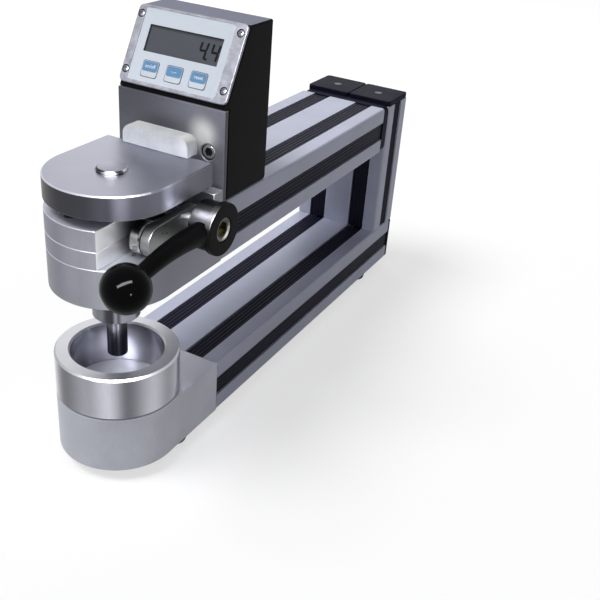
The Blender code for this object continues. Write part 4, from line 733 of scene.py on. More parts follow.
# painted highlight and shadow crescents on the domed screw's side and rounding
domeSideHighlightShadowBands = {
    "across": "XY", "dark": (0.02, 0.02, 0.025),
    "stops": ((0.0, 0.6), (0.06, 0.9), (0.3, 0.8), (0.5, 0.8), (0.62, 0.05), (0.72, 0.1), (0.78, 1.0),
        (0.88, 1.0), (0.93, 0.05), (0.97, 0.1), (1.0, 0.6)),
}
domeRoundHighlightShadowBands = {
    "across": "XY", "dark": (0.02, 0.02, 0.025),
    "stops": ((0.0, 0.9), (0.1, 0.9), (0.3, 0.8), (0.5, 0.9), (0.56, 0.6), (0.62, 0.0), (0.76, 0.0),
        (0.80, 0.6), (0.85, 0.5), (0.90, 0.0), (0.96, 0.05), (1.0, 0.9)),
}
domeSideHighlightShadowLook = dict(weightLook, light=(0.98, 0.98, 1.0), dark=(0.88, 0.88, 0.92), rough=(0.12, 0.2),
                    bands=domeSideHighlightShadowBands)
domeRoundHighlightShadowLook = dict(weightLook, light=(0.80, 0.80, 0.86), dark=(0.66, 0.66, 0.72), rough=(0.15, 0.25),
                     bands=domeRoundHighlightShadowBands)
domeLow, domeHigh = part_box("dome_screw")
base = recessFloor + domeSizes["lift"]
shoulder = domeHigh.z - domeSizes["crown"]
wide, shank, lowShare = domeSizes["radius"], domeSizes["shank"], domeSizes["sideShare"]
profile = [(0, domeLow.z), (shank, domeLow.z), (shank, base), (wide, base),
           (wide, base + (shoulder - base) * lowShare)]
for step in range(1, domeSizes["steps"] + 1):
    angle = math.pi / 2 * step / domeSizes["steps"]
    risen = lowShare + (1 - lowShare) * math.sin(angle)
    profile.append((wide - domeSizes["rounding"] * (1 - math.cos(angle)), base + (shoulder - base) * risen))
profile.append((wide * domeSizes["ridgeShare"], domeHigh.z - domeSizes["crown"] * domeSizes["ridgeDrop"]))
profile.append((0, domeHigh.z))
button = piece("domed_screw", lathe(profile), ground, "weight", ["dome_screw"],
               extra=[finish("dome screw side painted highlight and shadow", domeSideHighlightShadowLook), finish("dome screw rounding painted highlight and shadow", domeRoundHighlightShadowLook)])
# side and rounding faces take the painted highlight and shadow
paintWhere(button, 1, lambda at, normal: at.z >= base and normal.z < facing["slant"])
paintWhere(button, 2, lambda at, normal: at.z > base and facing["slant"] < normal.z < facing["across"])

plungerSizes = {"tipRadius": 0.0059, "radius": 0.0065, "tipEdge": 0.0006, "spigot": 0.005}
# painted reflections round the plunger: mostly dark with a narrow highlight
plungerReflectionBands = {
    "across": "XY", "dark": (0.01, 0.01, 0.015),
    "stops": ((0.0, 0.15), (0.1, 0.1), (0.3, 0.7), (0.5, 0.3), (0.66, 0.1), (0.738, 0.4), (0.81, 0.35),
        (0.848, 0.2), (0.877, 1.0), (0.902, 0.3), (0.95, 0.12)),
}
plungerLook = dict(steelLook, light=(0.40, 0.40, 0.46), dark=(0.28, 0.28, 0.33), rough=(0.2, 0.3),
                   stretch=(1, 1, 0.1), bands=plungerReflectionBands)
tipRadius, radius, tipEdge, spigot = plungerSizes.values()
plungerLow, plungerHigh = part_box("plunger_shaft")
shoulder = plateLow.z - gap
profile = [(0, plungerLow.z), (tipRadius, plungerLow.z), (radius, plungerLow.z + tipEdge),
           (radius, shoulder), (spigot, shoulder), (spigot, plungerHigh.z), (0, plungerHigh.z)]
piece("plunger", lathe(profile), finish("ground plunger steel painted reflections", plungerLook), "weight",
      ["plunger_shaft"])

whiteLow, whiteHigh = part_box("rear_block")
blockSizes = {"corner": 0.0065, "edge": 0.0007, "steps": 16}
# a painted pool of light on the block's right end
litEnd = {
    "centre": (whiteHigh.x - 0.001, whiteLow.y + 0.002, whiteHigh.z - 0.003), "radius": 0.013,
    "share": 0.9, "colour": (0.97, 0.98, 0.98),
}
blockLook = {
    "light": (0.80, 0.82, 0.82), "dark": (0.56, 0.58, 0.59), "rough": (0.40, 0.58), "grain": 340,
    "bump": 0.5, "bumpDepth": 0.0001, "edgeWearAndHighlight": (0.90, 0.92, 0.92), "wearWidth": 0.0012, "specular": 0.15,
    "cloud": 90, "spots": (litEnd,),
}
corner = blockSizes["corner"]
outline = [(whiteLow.x, whiteLow.z), (whiteHigh.x, whiteLow.z)]
for x, first in ((whiteHigh.x - corner, 0), (whiteLow.x + corner, 90)):
    outline += arcPoints((x, whiteHigh.z - corner), corner, first, first + 90, blockSizes["steps"])
white = softEdges(prism(outline, whiteLow.y, whiteHigh.y, "Y"), blockSizes["edge"])
piece("white_stop", white, finish("white block plastic", blockLook), "weight", ["rear_block"])
dress(milled, "sensor_arm")
print("weight done")


# lever, crank link and roller
leverLook = {
    "light": (0.005, 0.005, 0.006), "dark": (0.0015, 0.0015, 0.002), "rough": (0.30, 0.42), "grain": 520,
    "bump": 0.25, "bumpDepth": 0.00006, "edgeWearAndHighlight": (0.16, 0.16, 0.19), "wearShare": 0.7, "specular": 0.025,
}
# a painted highlight on the hub's barrel and flange, toward the upper front
barrelHighlightBands = {
    "across": "YZ", "centre": (shaftY, shaftZ), "dark": (0.002, 0.002, 0.002),
    "stops": ((0.0, 0.0), (0.27, 0.0), (0.325, 0.18), (0.368, 1.0), (0.41, 0.25), (0.46, 0.0),
        (1.0, 0.0)),
}
barrelHighlightLook = dict(leverLook, light=(0.62, 0.62, 0.66), dark=(0.42, 0.42, 0.46), metal=0.5, specular=0.2,
                  stretch=(8, 1, 1), bands=barrelHighlightBands)
ballLook = {
    "light": (0.003, 0.003, 0.004), "dark": (0.001, 0.001, 0.002), "rough": (0.06, 0.10), "grain": 60,
    "bump": 0.01, "bumpDepth": 0.00002, "specular": 0.04,
}
leverSizes = {
    "hubInner": 0.0408, "hubOuter": 0.0573, "hubRadius": 0.0155, "flangeRadius": 0.0168, "flange": 0.0043,
    "bore": 0.0126, "edge": 0.0009, "barrelFacing": 0.75, "barrelMargin": 0.0004, "rodRoot": 0.0076,
    "rodNeck": 0.0044, "rodBow": 0.0038, "rodSteps": 24, "rodSides": 40, "rodTaper": 0.8,
}
ballSizes = {
    "x": 0.0539, "y": -0.0572, "rise": -0.0012, "radius": 0.014, "neck": 0.0055, "lip": (0.0057, 0.0054),
    "lipSpace": 0.0003, "lipDrop": 0.0001, "bore": 0.0050, "floor": -0.0006, "steps": 48,
}
screwSizes = {
    "radius": 0.0077, "depth": 0.0055, "edge": 0.0003, "rimWidth": 0.0010, "faceDepth": 0.0009,
    "faceRadius": 0.0060, "hexWidth": 0.0092, "hexDepth": 0.0033,
}
shaftCentre = Vector((shaftY, shaftZ))
satinBlack = finish("satin black lever", leverLook)


def fromShaft(at):
    return (at.yz - shaftCentre).length


def rodSections():
    size = leverSizes
    start = Vector(((size["hubInner"] + size["hubOuter"]) / 2, -size["hubRadius"] / 2, 0))
    end = Vector((ballSizes["x"], ballSizes["y"] - shaftY, ballSizes["rise"]))
    sections = []
    for step in range(size["rodSteps"] + 1):
        share = step / size["rodSteps"]
        centre = start.lerp(end, share)
        centre.z += size["rodBow"] * math.sin(math.pi * share)
        thin = share ** size["rodTaper"]
        sections.append((centre, size["rodRoot"] + (size["rodNeck"] - size["rodRoot"]) * thin))
    return sections


def loftedRod(sections):
    shape = bmesh.new()
    loops = []
    sides = leverSizes["rodSides"]
    for index, (centre, wide) in enumerate(sections):
        after = sections[min(index + 1, len(sections) - 1)][0]
        before = sections[max(index - 1, 0)][0]
        direction = (after - before).normalized()
        across = (Vector((1, 0, 0)) - direction.x * direction).normalized()
        upward = direction.cross(across)
        loop = []
        for side in range(sides):
            angle = 2 * math.pi * side / sides
            spoke = math.cos(angle) * across + math.sin(angle) * upward
            loop.append(shape.verts.new(centre + wide * spoke))
        loops.append(loop)
    for first, second in zip(loops, loops[1:]):
        for side in range(sides):
            following = (side + 1) % sides
            shape.faces.new((first[side], first[following], second[following], second[side]))
    shape.faces.new(loops[0])
    shape.faces.new(loops[-1])
    bmesh.ops.recalc_face_normals(shape, faces=shape.faces)
    return shape


size = leverSizes
flangeX = size["hubOuter"] - size["flange"]
screwStart = size["hubOuter"] - size["edge"] - screwSizes["depth"]
profile = stepped(size["hubInner"], (2 * size["hubRadius"], flangeX),
                  (2 * size["flangeRadius"], size["hubOuter"]))
hub = lathe(softCorners(profile, size["edge"], 4), axis="X")
sections = rodSections()
lever = carved(hub, [loftedRod(sections)], "UNION")
bore = rod(size["bore"], size["hubInner"] - overrun, size["hubOuter"] - overrun, axis="X")
seat = rod(2 * screwSizes["radius"] + 2 * gap, screwStart - gap, size["hubOuter"] + overrun,
           detail["roundSides"], "X")
lever = moved(carved(lever, [bore, seat]), 0, shaftY, shaftZ)
leverPiece = piece("lever_body", lever, satinBlack, "lever", ["lever_arm"],
                   extra=[finish("satin black hub barrel painted highlight", barrelHighlightLook)])
barrel = size["hubRadius"] - size["barrelMargin"]
# barrel and flange sides take the painted highlight
paintWhere(leverPiece, 1, lambda at, normal: abs(normal.x) < size["barrelFacing"]
           and barrel < fromShaft(at) < size["flangeRadius"] + margin)

# hub screw with its hexagon socket
hubScrewLook = dict(steelLook, light=(0.075, 0.075, 0.08), dark=(0.035, 0.035, 0.04), rough=(0.36, 0.48),
                    metal=0.8)
socketLook = {
    "light": (0.15, 0.14, 0.06), "dark": (0.015, 0.015, 0.01), "metal": 1.0, "rough": (0.22, 0.4),
    "grain": 400,
}
faceLook = {
    "light": (0.06, 0.06, 0.055), "dark": (0.02, 0.02, 0.018), "metal": 0.8, "rough": (0.3, 0.5),
    "grain": 600,
}
# painted highlight arcs on the rim of the hub screw's socket
rimReflectionBands = {
    "across": "YZ", "centre": (shaftY, shaftZ), "dark": (0.05, 0.05, 0.05),
    "stops": ((0.0, 0.2), (0.1, 0.0), (0.28, 0.0), (0.37, 0.9), (0.45, 0.1), (0.7, 0.05), (0.86, 1.0),
        (0.95, 0.5)),
}
screwRimHighlightLook = dict(steelLook, light=(0.95, 0.95, 0.92), dark=(0.75, 0.75, 0.72), metal=0.6, rough=(0.25, 0.35),
               bands=rimReflectionBands)
screwEnd = size["hubOuter"] - size["edge"] / 2
face = screwEnd - screwSizes["faceDepth"]
faceRadius = screwSizes["faceRadius"]
rimRadius = faceRadius + screwSizes["rimWidth"]
hexFloor = face - screwSizes["hexDepth"]
profile = [(0, screwStart), (screwSizes["radius"], screwStart), (screwSizes["radius"], screwEnd),
           (rimRadius, screwEnd), (faceRadius, face), (0, face)]
socket = turned(hexagon(screwSizes["hexWidth"], hexFloor, face + overrun), math.pi / 2, "Y")
screw = carved(lathe(softCorners(profile, screwSizes["edge"]), axis="X"), [socket])
screwFinishes = [finish("hub screw socket", socketLook), finish("hub screw face", faceLook),
                 finish("hub screw rim painted highlight", screwRimHighlightLook)]
hubScrew = piece("hub_socket_screw", moved(screw, 0, shaftY, shaftZ), finish("hub screw steel", hubScrewLook),
                 "lever", ["hub_screw"], extra=screwFinishes)
paintWhere(hubScrew, 2, lambda at, normal: at.x > face - margin and fromShaft(at) < rimRadius - margin)
paintWhere(hubScrew, 1, lambda at, normal: screwStart + margin < at.x < face + margin
           and fromShaft(at) < faceRadius - margin and normal.x < facing["half"]
           or abs(at.x - hexFloor) < margin)
# the rim's chamfer takes the painted highlight arcs
paintWhere(hubScrew, 3, lambda at, normal: sloped(normal.x) and at.x > face - margin
           and fromShaft(at) < rimRadius + screwSizes["edge"] + margin)

# ball with a small flat at the rod
radius, bore, floorLevel = ballSizes["radius"], ballSizes["bore"], ballSizes["floor"]
flat = math.sqrt(radius ** 2 - ballSizes["neck"] ** 2)
profile = [(0, -radius)]
for step in range(1, ballSizes["steps"]):
    angle = math.pi * step / ballSizes["steps"]
    height = -radius * math.cos(angle)
    if height < flat - ballSizes["lipSpace"]:
        profile.append((radius * math.sin(angle), height))
lipOuter, lipInner = ballSizes["lip"]
profile += [(lipOuter, flat - ballSizes["lipDrop"]), (lipInner, flat), (bore, flat), (bore, floorLevel),
            (0, floorLevel)]
ball = lathe(profile)
towardHub = (sections[-2][0] - sections[-1][0]).normalized()
turn = towardHub.to_track_quat("Z", "Y").to_matrix().to_4x4()
ballCentre = sections[-1][0] + Vector((0, shaftY, shaftZ))
bmesh.ops.transform(ball, matrix=Matrix.Translation(ballCentre) @ turn, verts=ball.verts)
piece("ball_grip", ball, finish("gloss black ball", ballLook), "lever", ["ball_knob"])

# crank link: two rounded ends, chamfered, with two punch marks on its outer face
linkLook = {
    "light": (0.32, 0.33, 0.33), "dark": (0.16, 0.165, 0.165), "metal": 0.8, "rough": (0.32, 0.46),
    "grain": 500, "stretch": (1, 0.3, 1), "bump": 0.05, "bumpDepth": 0.00002, "edgeWearAndHighlight": (0.75, 0.76, 0.74),
    "wearWidth": 0.0004, "wearShare": 0.8,
}
linkSizes = {
    "radius": 0.010, "length": 0.0353, "droop": math.radians(1.46), "edge": 0.0007, "steps": 36,
    "pinBore": 0.0086, "pinCover": 0.0012, "mark": 0.0013, "markRise": 0.0001, "markCrown": 0.00002,
    "markSides": 16, "marks": ((-0.0315, 0.0032), (-0.0275, 0.0018)),
}
linkLow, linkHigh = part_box("crank_link")
tipY = -linkSizes["length"] * math.cos(linkSizes["droop"])
tipZ = -linkSizes["length"] * math.sin(linkSizes["droop"])
outline = []
for centre, first in (((0, 0), -90), ((tipY, tipZ), 90)):
    start = math.degrees(linkSizes["droop"]) + first
    outline += arcPoints(centre, linkSizes["radius"], start, start + 180, linkSizes["steps"])
link = softEdges(prism(outline, linkLow.x, linkHigh.x, "X"), linkSizes["edge"], 2)
shaftHole = rod(size["bore"], linkLow.x - overrun, linkHigh.x + overrun, axis="X")
pinHole = rod(linkSizes["pinBore"], linkLow.x - overrun, linkHigh.x - linkSizes["pinCover"], axis="X")
link = carved(link, [shaftHole, moved(pinHole, 0, tipY, tipZ)])
piece("link_plate", moved(link, 0, shaftY, shaftZ), finish("dark link steel", linkLook), "lever",
      ["crank_link"])
for index, (y, z) in enumerate(linkSizes["marks"]):
    level = linkHigh.x + linkSizes["markRise"]
    profile = [(0, linkHigh.x), (linkSizes["mark"] / 2, linkHigh.x), (linkSizes["mark"] / 3, level),
               (0, level + linkSizes["markCrown"])]
    mark = moved(lathe(profile, linkSizes["markSides"], "X"), 0, shaftY + y, shaftZ + z)
    piece("link_mark_%d" % index, mark, darkBolt, "lever")

# roller and its pin, and the lever's shaft
polished = finish("polished steel", steelLook)
pinSizes = {
    "head": 0.011, "headHeight": 0.0014, "shank": 0.008, "cover": 0.0016, "edge": 0.0002, "spindle": 0.012,
    "spindleEdge": 0.0008,
}
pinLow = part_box("roller_pin")[0]
pinSteps = stepped(pinLow.x, (pinSizes["head"], pinLow.x + pinSizes["headHeight"]),
                   (pinSizes["shank"], linkHigh.x - pinSizes["cover"]))
pin = moved(lathe(softCorners(pinSteps, pinSizes["edge"]), axis="X"), 0, shaftY + tipY, shaftZ + tipZ)
piece("roller_axle", pin, polished, "lever", ["roller_pin"])

rollerSizes = {"bore": 0.0043, "radius": 0.011, "edge": 0.0008}
# painted light and shade round the roller, by angle about its axis
rollerLightShadeBands = {
    "across": "YZ", "centre": (shaftY + tipY, shaftZ + tipZ), "dark": (0.05, 0.05, 0.05),
    "stops": ((0.0, 0.5), (0.1, 0.2), (0.25, 0.6), (0.36, 0.12), (0.45, 0.7), (0.53, 0.45), (0.60, 0.10),
        (0.70, 0.5), (0.8, 0.2), (1.0, 0.5)),
}
rollerLook = dict(steelLook, light=(0.52, 0.52, 0.51), dark=(0.34, 0.34, 0.33), stretch=(0.08, 1, 1),
                  rough=(0.16, 0.30), bands=rollerLightShadeBands)
bore, radius, edge = rollerSizes.values()
profile = [(bore, rollerLow.x), (radius - edge, rollerLow.x), (radius, rollerLow.x + edge),
           (radius, rollerHigh.x - edge), (radius - edge, rollerHigh.x), (bore, rollerHigh.x)]
wheel = moved(lathe(profile, axis="X", closed=True), 0, shaftY + tipY, shaftZ + tipZ)
piece("roller_wheel", wheel, finish("roller steel painted light and shade", rollerLook), "roller", ["roller"])
spindleSteps = stepped(shaftLow.x, (pinSizes["spindle"], shaftHigh.x))
spindle = lathe(softCorners(spindleSteps, pinSizes["spindleEdge"]), axis="X")
piece("lever_spindle", moved(spindle, 0, shaftY, shaftZ), polished, "lever",
      ["lever_shaft"])
print("lever done")


# display housing: black shell and grey front plate
shellLook = {
    "light": (0.012, 0.012, 0.014), "dark": (0.005, 0.005, 0.006), "rough": (0.34, 0.46), "grain": 1600,
    "bumpDepth": 0.00004, "edgeWearAndHighlight": (0.02, 0.02, 0.024), "wearShare": 0.4, "specular": 0.02,
}
# the shell's top face: a painted sheen, lighter than its sides
shellTopSheenLook = dict(shellLook, light=(0.20, 0.21, 0.30), dark=(0.135, 0.14, 0.21))
# painted shade over the plate's left part, and a painted hot spot of reflected light on its right
leftShade = {
    "centre": (-0.038, 0.060, 0.224), "radius": 0.075, "share": 0.85, "colour": (0.075, 0.075, 0.09),
}
rightSheen = {
    "centre": (0.0225, 0.060, 0.2015), "radius": 0.016, "share": 1.0, "colour": (0.98, 0.98, 0.96),
}
plateLook = {
    "light": (0.30, 0.31, 0.36), "dark": (0.22, 0.225, 0.265), "metal": 0.2, "rough": (0.34, 0.46),
    "specular": 0.12, "spots": (leftShade, rightSheen), "grain": 1300, "bump": 0.15, "bumpDepth": 0.00003,
    "edgeWearAndHighlight": (0.50, 0.51, 0.56), "wearWidth": 0.0005,
}
# the plate's side faces: painted shade, a darker copy of its look
plateSideShadeLook = dict(plateLook, light=(0.10, 0.10, 0.125), dark=(0.06, 0.06, 0.08), spots=())
# painted shade in the screws' counterbores, sinks and sockets
recessShadeLook = {
    "light": (0.04, 0.04, 0.05), "dark": (0.012, 0.012, 0.015), "rough": (0.5, 0.7), "grain": 600,
    "specular": 0.05,
}
ringLook = dict(steelLook, light=(0.50, 0.50, 0.53), dark=(0.26, 0.26, 0.29), rough=(0.3, 0.42), metal=0.5)
plateScrewLook = dict(steelLook, light=(0.62, 0.62, 0.64), dark=(0.34, 0.34, 0.36), rough=(0.26, 0.4),
                      metal=0.5, grain=500)
shellSizes = {"edge": 0.00035, "topDepth": 0.0006}
shell = piece("housing", nodeShape("housing_shell", shellSizes["edge"]),
              finish("satin black shell", shellLook), "stand", ["housing_shell"],
              extra=[finish("shell top painted sheen", shellTopSheenLook)])
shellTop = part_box("housing_shell")[1].z - shellSizes["topDepth"]
# top faces take the painted sheen
paintWhere(shell, 1, lambda at, normal: normal.z > facing["across"] and at.z > shellTop)

frontSizes = {
    "edge": 0.0006, "ring": 0.0118, "ringDepth": 0.0003, "sink": 0.0101, "sinkDepth": 0.0031,
    "bore": 0.0056, "slotHalf": 0.0066, "slotLow": 0.1703, "slotHigh": 0.1998, "head": 0.0090,
    "headHeight": 0.0022, "headEdge": 0.0004, "shank": 0.005, "seatDepth": 0.0028, "hex": 0.0052,
    "hexDepth": 0.0014,
}
frontLow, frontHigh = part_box("front_plate")
front = softEdges(block(frontLow, frontHigh), frontSizes["edge"], 2)
cutters = [block((-frontSizes["slotHalf"], frontLow.y - overrun, frontSizes["slotLow"]),
                 (frontSizes["slotHalf"], frontHigh.y + overrun, frontSizes["slotHigh"]))]
ringFloor = frontLow.y + frontSizes["ringDepth"]
screwPlaces = []
for name in ("plate_screw_left", "plate_screw_right"):
    low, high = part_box(name)
    middle = (low + high) / 2
    screwPlaces.append((name, middle.x, middle.z, high.y))
    profile = stepped(frontLow.y - overrun, (frontSizes["ring"], ringFloor),
                      (frontSizes["sink"], frontLow.y + frontSizes["sinkDepth"]),
                      (frontSizes["bore"], frontHigh.y + overrun))
    cutters.append(moved(lathe(profile, detail["screwSides"], "Y"), middle.x, 0, middle.z))
recessShade = finish("screw recess painted shade", recessShadeLook)
greyPlate = piece("grey_plate", carved(front, cutters), finish("satin grey plate", plateLook), "stand",
                  ["front_plate"],
                  extra=[finish("counterbore ring", ringLook), recessShade,
                         finish("grey plate side painted shade", plateSideShadeLook)])
sideX = frontHigh.x - margin
# side faces take the painted shade
paintWhere(greyPlate, 3, lambda at, normal: abs(normal.x) > facing["across"] and abs(at.x) > sideX)
plateScrew = finish("plate screw steel", plateScrewLook)
seatY = frontLow.y + frontSizes["seatDepth"]
top = seatY - frontSizes["headHeight"]
ringReach, sinkReach = frontSizes["ring"] / 2 + margin, frontSizes["sink"] / 2 + margin
hexReach = frontSizes["hex"] / math.sqrt(3) + margin
for name, x, z, back in screwPlaces:
    paintWhere(greyPlate, 1, lambda at, normal: math.hypot(at.x - x, at.z - z) < ringReach)
    # the counterbore's wall and floor take the painted shade
    paintWhere(greyPlate, 2, lambda at, normal: at.y > ringFloor - margin
               and math.hypot(at.x - x, at.z - z) < sinkReach)
    profile = stepped(-top, (frontSizes["head"], -seatY), (frontSizes["shank"], -back))
    head = lathe(softCorners(profile, frontSizes["headEdge"]), detail["screwSides"])
    head = turned(head, math.pi / 2, "X")
    socket = hexagon(frontSizes["hex"], -top - frontSizes["hexDepth"], -top + overrun)
    screw = carved(head, [turned(socket, math.pi / 2, "X")])
    screw = piece(name + "_head", moved(screw, x, 0, z), plateScrew, "stand", [name],
                  extra=[recessShade])
    # the hexagon socket takes the painted shade
    paintWhere(screw, 1, lambda at, normal: top - margin < at.y < top + frontSizes["hexDepth"] + margin
               and (normal.y > -facing["half"] or at.y > top + margin)
               and math.hypot(at.x - x, at.z - z) < hexReach)
print("housing done")


# display unit, in its own slope: x across, y up the slope, z out of it
castLook = {
    "light": (0.46, 0.47, 0.53), "dark": (0.17, 0.17, 0.21), "metal": 0.3, "rough": (0.40, 0.58),
    "grain": 420, "specular": 0.2, "cloud": 120, "grainShare": 0.55, "bump": 0.45, "bumpDepth": 0.0001,
    "edgeWearAndHighlight": (0.85, 0.85, 0.9), "wearWidth": 0.0005,
}
panLook = dict(steelLook, light=(0.22, 0.22, 0.25), dark=(0.08, 0.08, 0.10), rough=(0.35, 0.5))
foilLook = {
    "light": (0.86, 0.925, 1.0), "dark": (0.80, 0.88, 1.0), "rough": (0.30, 0.42), "grain": 90,
    "bump": 0.04, "bumpDepth": 0.00003, "specular": 0.2,
}
# the foil's cut edges: dark, a painted shade
foilEdgeShadeLook = {
    "light": (0.20, 0.21, 0.25), "dark": (0.12, 0.13, 0.16), "rough": (0.4, 0.6), "grain": 300,
}
slopeSizes = {"tilt": math.radians(29.05), "foot": (-0.0018, 0.0598, 0.223)}
slope = (Matrix.Translation(slopeSizes["foot"])
         @ Matrix.Rotation(math.pi / 2 - slopeSizes["tilt"], 4, "X"))
rimSizes = {
    "half": 0.04005, "height": 0.0502, "thickness": 0.0022, "corner": 0.0035, "edge": 0.0006,
    "skirtHalf": 0.03335, "skirtLow": 0.0031, "skirtHigh": 0.0471, "skirtDepth": 0.0097,
    "skirtWall": 0.0015, "seatDepth": 0.0011, "ledge": 0.002,
}
panSizes = {
    "x": (-0.03685, 0.03605), "y": (0.0081, 0.04395), "head": 0.0044, "space": 0.0005, "sink": 0.0012,
    "side": -0.0003, "crown": 0.0009, "steps": 8, "slotLength": 0.0013, "slotWidth": 0.00028, "turn": 20,
    "turnStep": 35,
}
foilSizes = {
    "left": -0.0342, "right": 0.0315, "low": 0.0024, "high": 0.0485, "corner": 0.003, "space": 0.0001,
    "front": -0.0003, "back": -0.0008, "steps": 12,
}
screenSizes = {
    "left": -0.0282, "right": 0.02625, "low": 0.02135, "high": 0.0385, "corner": 0.0006, "margin": 0.0018,
    "edge": 0.0002, "back": -0.0035, "front": -0.0011, "shadeLeft": 0.0016, "shadeTop": 0.0022,
}
keySizes = {
    "x": (-0.01935, -0.00135, 0.01665), "y": 0.01085, "width": 0.0116, "height": 0.0099, "corner": 0.0016,
    "space": 0.0004, "edge": 0.00015, "back": -0.0014, "flange": 0.0007, "flangeTop": -0.0010,
    "overlap": 0.00005, "top": 0.00002, "padTop": 0.00009, "padLow": -0.0016, "padDepth": 0.0001,
    "padCorner": 0.0014, "padEdge": 0.00006, "inset": 0.0003, "letters": ("on/off", "-.--", "reset"),
    "letterHeight": 0.0032, "letterWeight": 0.02, "letterRise": 0.00002,
}


def foilOutline(grown):
    right = foilSizes["right"] + grown
    low = foilSizes["low"] - grown
    high = foilSizes["high"] + grown
    radius, steps = foilSizes["corner"], foilSizes["steps"]
    points = arcPoints((right - radius, low + radius), radius, -90, 0, steps)
    points += arcPoints((right - radius, high - radius), radius, 0, 90, steps)
    return points + [(foilSizes["left"] - grown, high), (foilSizes["left"] - grown, low)]


r = rimSizes
rim = prism(roundedBox(-r["half"], r["half"], 0, r["height"], r["corner"]), -r["thickness"], 0)
rim = softEdges(rim, r["edge"])
skirt = block((-r["skirtHalf"], r["skirtLow"], -r["skirtDepth"]),
              (r["skirtHalf"], r["skirtHigh"], -r["thickness"] / 2))
inner = r["skirtHalf"] - r["skirtWall"]
innerLow = r["skirtLow"] + r["skirtWall"]
innerHigh = r["skirtHigh"] - r["skirtWall"]
hollow = block((-inner, innerLow, -r["skirtDepth"] - overrun), (inner, innerHigh, -r["thickness"]))
window = block((-inner, innerLow, -r["thickness"] - overrun),
               (foilSizes["right"] - r["ledge"], innerHigh, overrun))
foilSeat = prism(foilOutline(foilSizes["space"]), -r["seatDepth"], overrun)
panWidth = panSizes["head"] + 2 * panSizes["space"]
panPlaces = [(x, y) for x in panSizes["x"] for y in panSizes["y"]]
sinks = [moved(rod(panWidth, -panSizes["sink"], overrun), x, y) for x, y in panPlaces]
rim = carved(carved(rim, [skirt], "UNION"), [hollow, foilSeat, window] + sinks)
rimPiece = piece("display_rim", rim, finish("cast silver frame", castLook), "stand",
                 ["display_frame"], slope, [recessShade])

# pan screws with a cross slot in the frame's corners
pan = finish("pan screw steel", panLook)
half, side, crown = panSizes["head"] / 2, panSizes["side"], panSizes["crown"]
long, thin = panSizes["slotLength"], panSizes["slotWidth"]
for index, (x, y) in enumerate(panPlaces):
    # the pan screw's sink takes the painted shade
    paintWhere(rimPiece, 1, lambda at, normal: math.hypot(at.x - x, at.y - y) < panWidth / 2 + margin)
    profile = [(0, -r["seatDepth"]), (half, -r["seatDepth"])] + crowned(half, side, crown, panSizes["steps"])
    turn = math.radians(panSizes["turn"] + panSizes["turnStep"] * index)
    cross = []
    for across, up in ((long, thin), (thin, long)):
        cross.append(turned(block((-across, -up, side), (across, up, overrun)), turn, "Z"))
    screw = carved(lathe(profile, detail["smallSides"]), cross)
    piece("frame_screw_%d" % index, moved(screw, x, y), pan, "stand", (), slope)

# foil with the screen's window and the keys' cut-outs
s, k = screenSizes, keySizes
openings = [roundedBox(s["left"], s["right"], s["low"], s["high"], s["corner"])]
wide, tall = k["width"] / 2 + k["space"], k["height"] / 2 + k["space"]
for x in k["x"]:
    openings.append(roundedBox(x - wide, x + wide, k["y"] - tall, k["y"] + tall, k["corner"]))
windows = [prism(outline, foilSizes["back"] - overrun, overrun) for outline in openings]
foil = carved(prism(foilOutline(0), foilSizes["back"], foilSizes["front"]), windows)
foilPiece = piece("foil_sheet", foil, finish("pale foil", foilLook), "stand", ["display_foil"], slope,
                  [finish("foil edge painted shade", foilEdgeShadeLook)])
# the cut edges take the painted shade
paintWhere(foilPiece, 1, lambda at, normal: normal.z < facing["half"])

# screen: smoked glass that darkens toward its upper and left edges, a painted shadow there
screenLook = {
    "light": (0.120, 0.130, 0.150), "dark": (0.098, 0.106, 0.124), "shade": (0.028, 0.030, 0.036),
    "rough": (0.20, 0.28), "grain": 40, "specular": 0.2,
}
screen, tree, shader = newLook("smoked screen")
axes = axesOf(tree)
fromLeft = ranged(tree, axes["X"], s["left"], s["left"] + s["shadeLeft"], 0, 1)
fromTop = ranged(tree, axes["Y"], s["high"], s["high"] - s["shadeTop"], 0, 1)
lit = mathOf(tree, "MINIMUM", fromLeft, fromTop)
cloud = noiseOf(tree, stretched(tree), screenLook["grain"])
colour = mixed(tree, cloud, screenLook["dark"], screenLook["light"])
feed(tree, shader, {
    "Base Color": mixed(tree, lit, screenLook["shade"], colour),
    "Roughness": ranged(tree, cloud, *noiseSizes["span"], *screenLook["rough"]),
    "Specular IOR Level": screenLook["specular"],
})
glass = block((s["left"] - s["margin"], s["low"] - s["margin"], s["back"]),
              (s["right"] + s["margin"], s["high"] + s["margin"], s["front"]))
piece("screen_glass", softEdges(glass, s["edge"], 2), screen, "stand", ["screen_module"], slope)

# the digit four twice, in segments that lean a little, and the point between
inkLook = {
    "light": (0.012, 0.014, 0.018), "dark": (0.006, 0.007, 0.010), "rough": (0.3, 0.4), "grain": 200,
    "specular": 0.1,
}
digitSizes = {
    "height": 0.0112, "width": 0.0060, "stroke": 0.0015, "space": 0.00022, "lean": 0.09, "top": -0.00098,
    "back": -0.0011, "places": (0.0100, 0.0185), "low": 0.0237, "pointX": 0.0160, "pointCorner": 0.0002,
}


def segment(left, low, right, high):
    # a bar with pointed ends
    cut, space = digitSizes["stroke"] / 2, digitSizes["space"]
    if right - left > high - low:
        middle = (low + high) / 2
        return [(left + cut + space, low), (right - cut - space, low), (right - space, middle),
                (right - cut - space, high), (left + cut + space, high), (left + space, middle)]
    middle = (left + right) / 2
    return [(left, low + cut + space), (middle, low + space), (right, low + cut + space),
            (right, high - cut - space), (middle, high - space), (left, high - cut - space)]


def stroke(points, left):
    leaned = [(left + x + digitSizes["lean"] * y, digitSizes["low"] + y) for x, y in points]
    return prism(leaned, digitSizes["back"], digitSizes["top"])


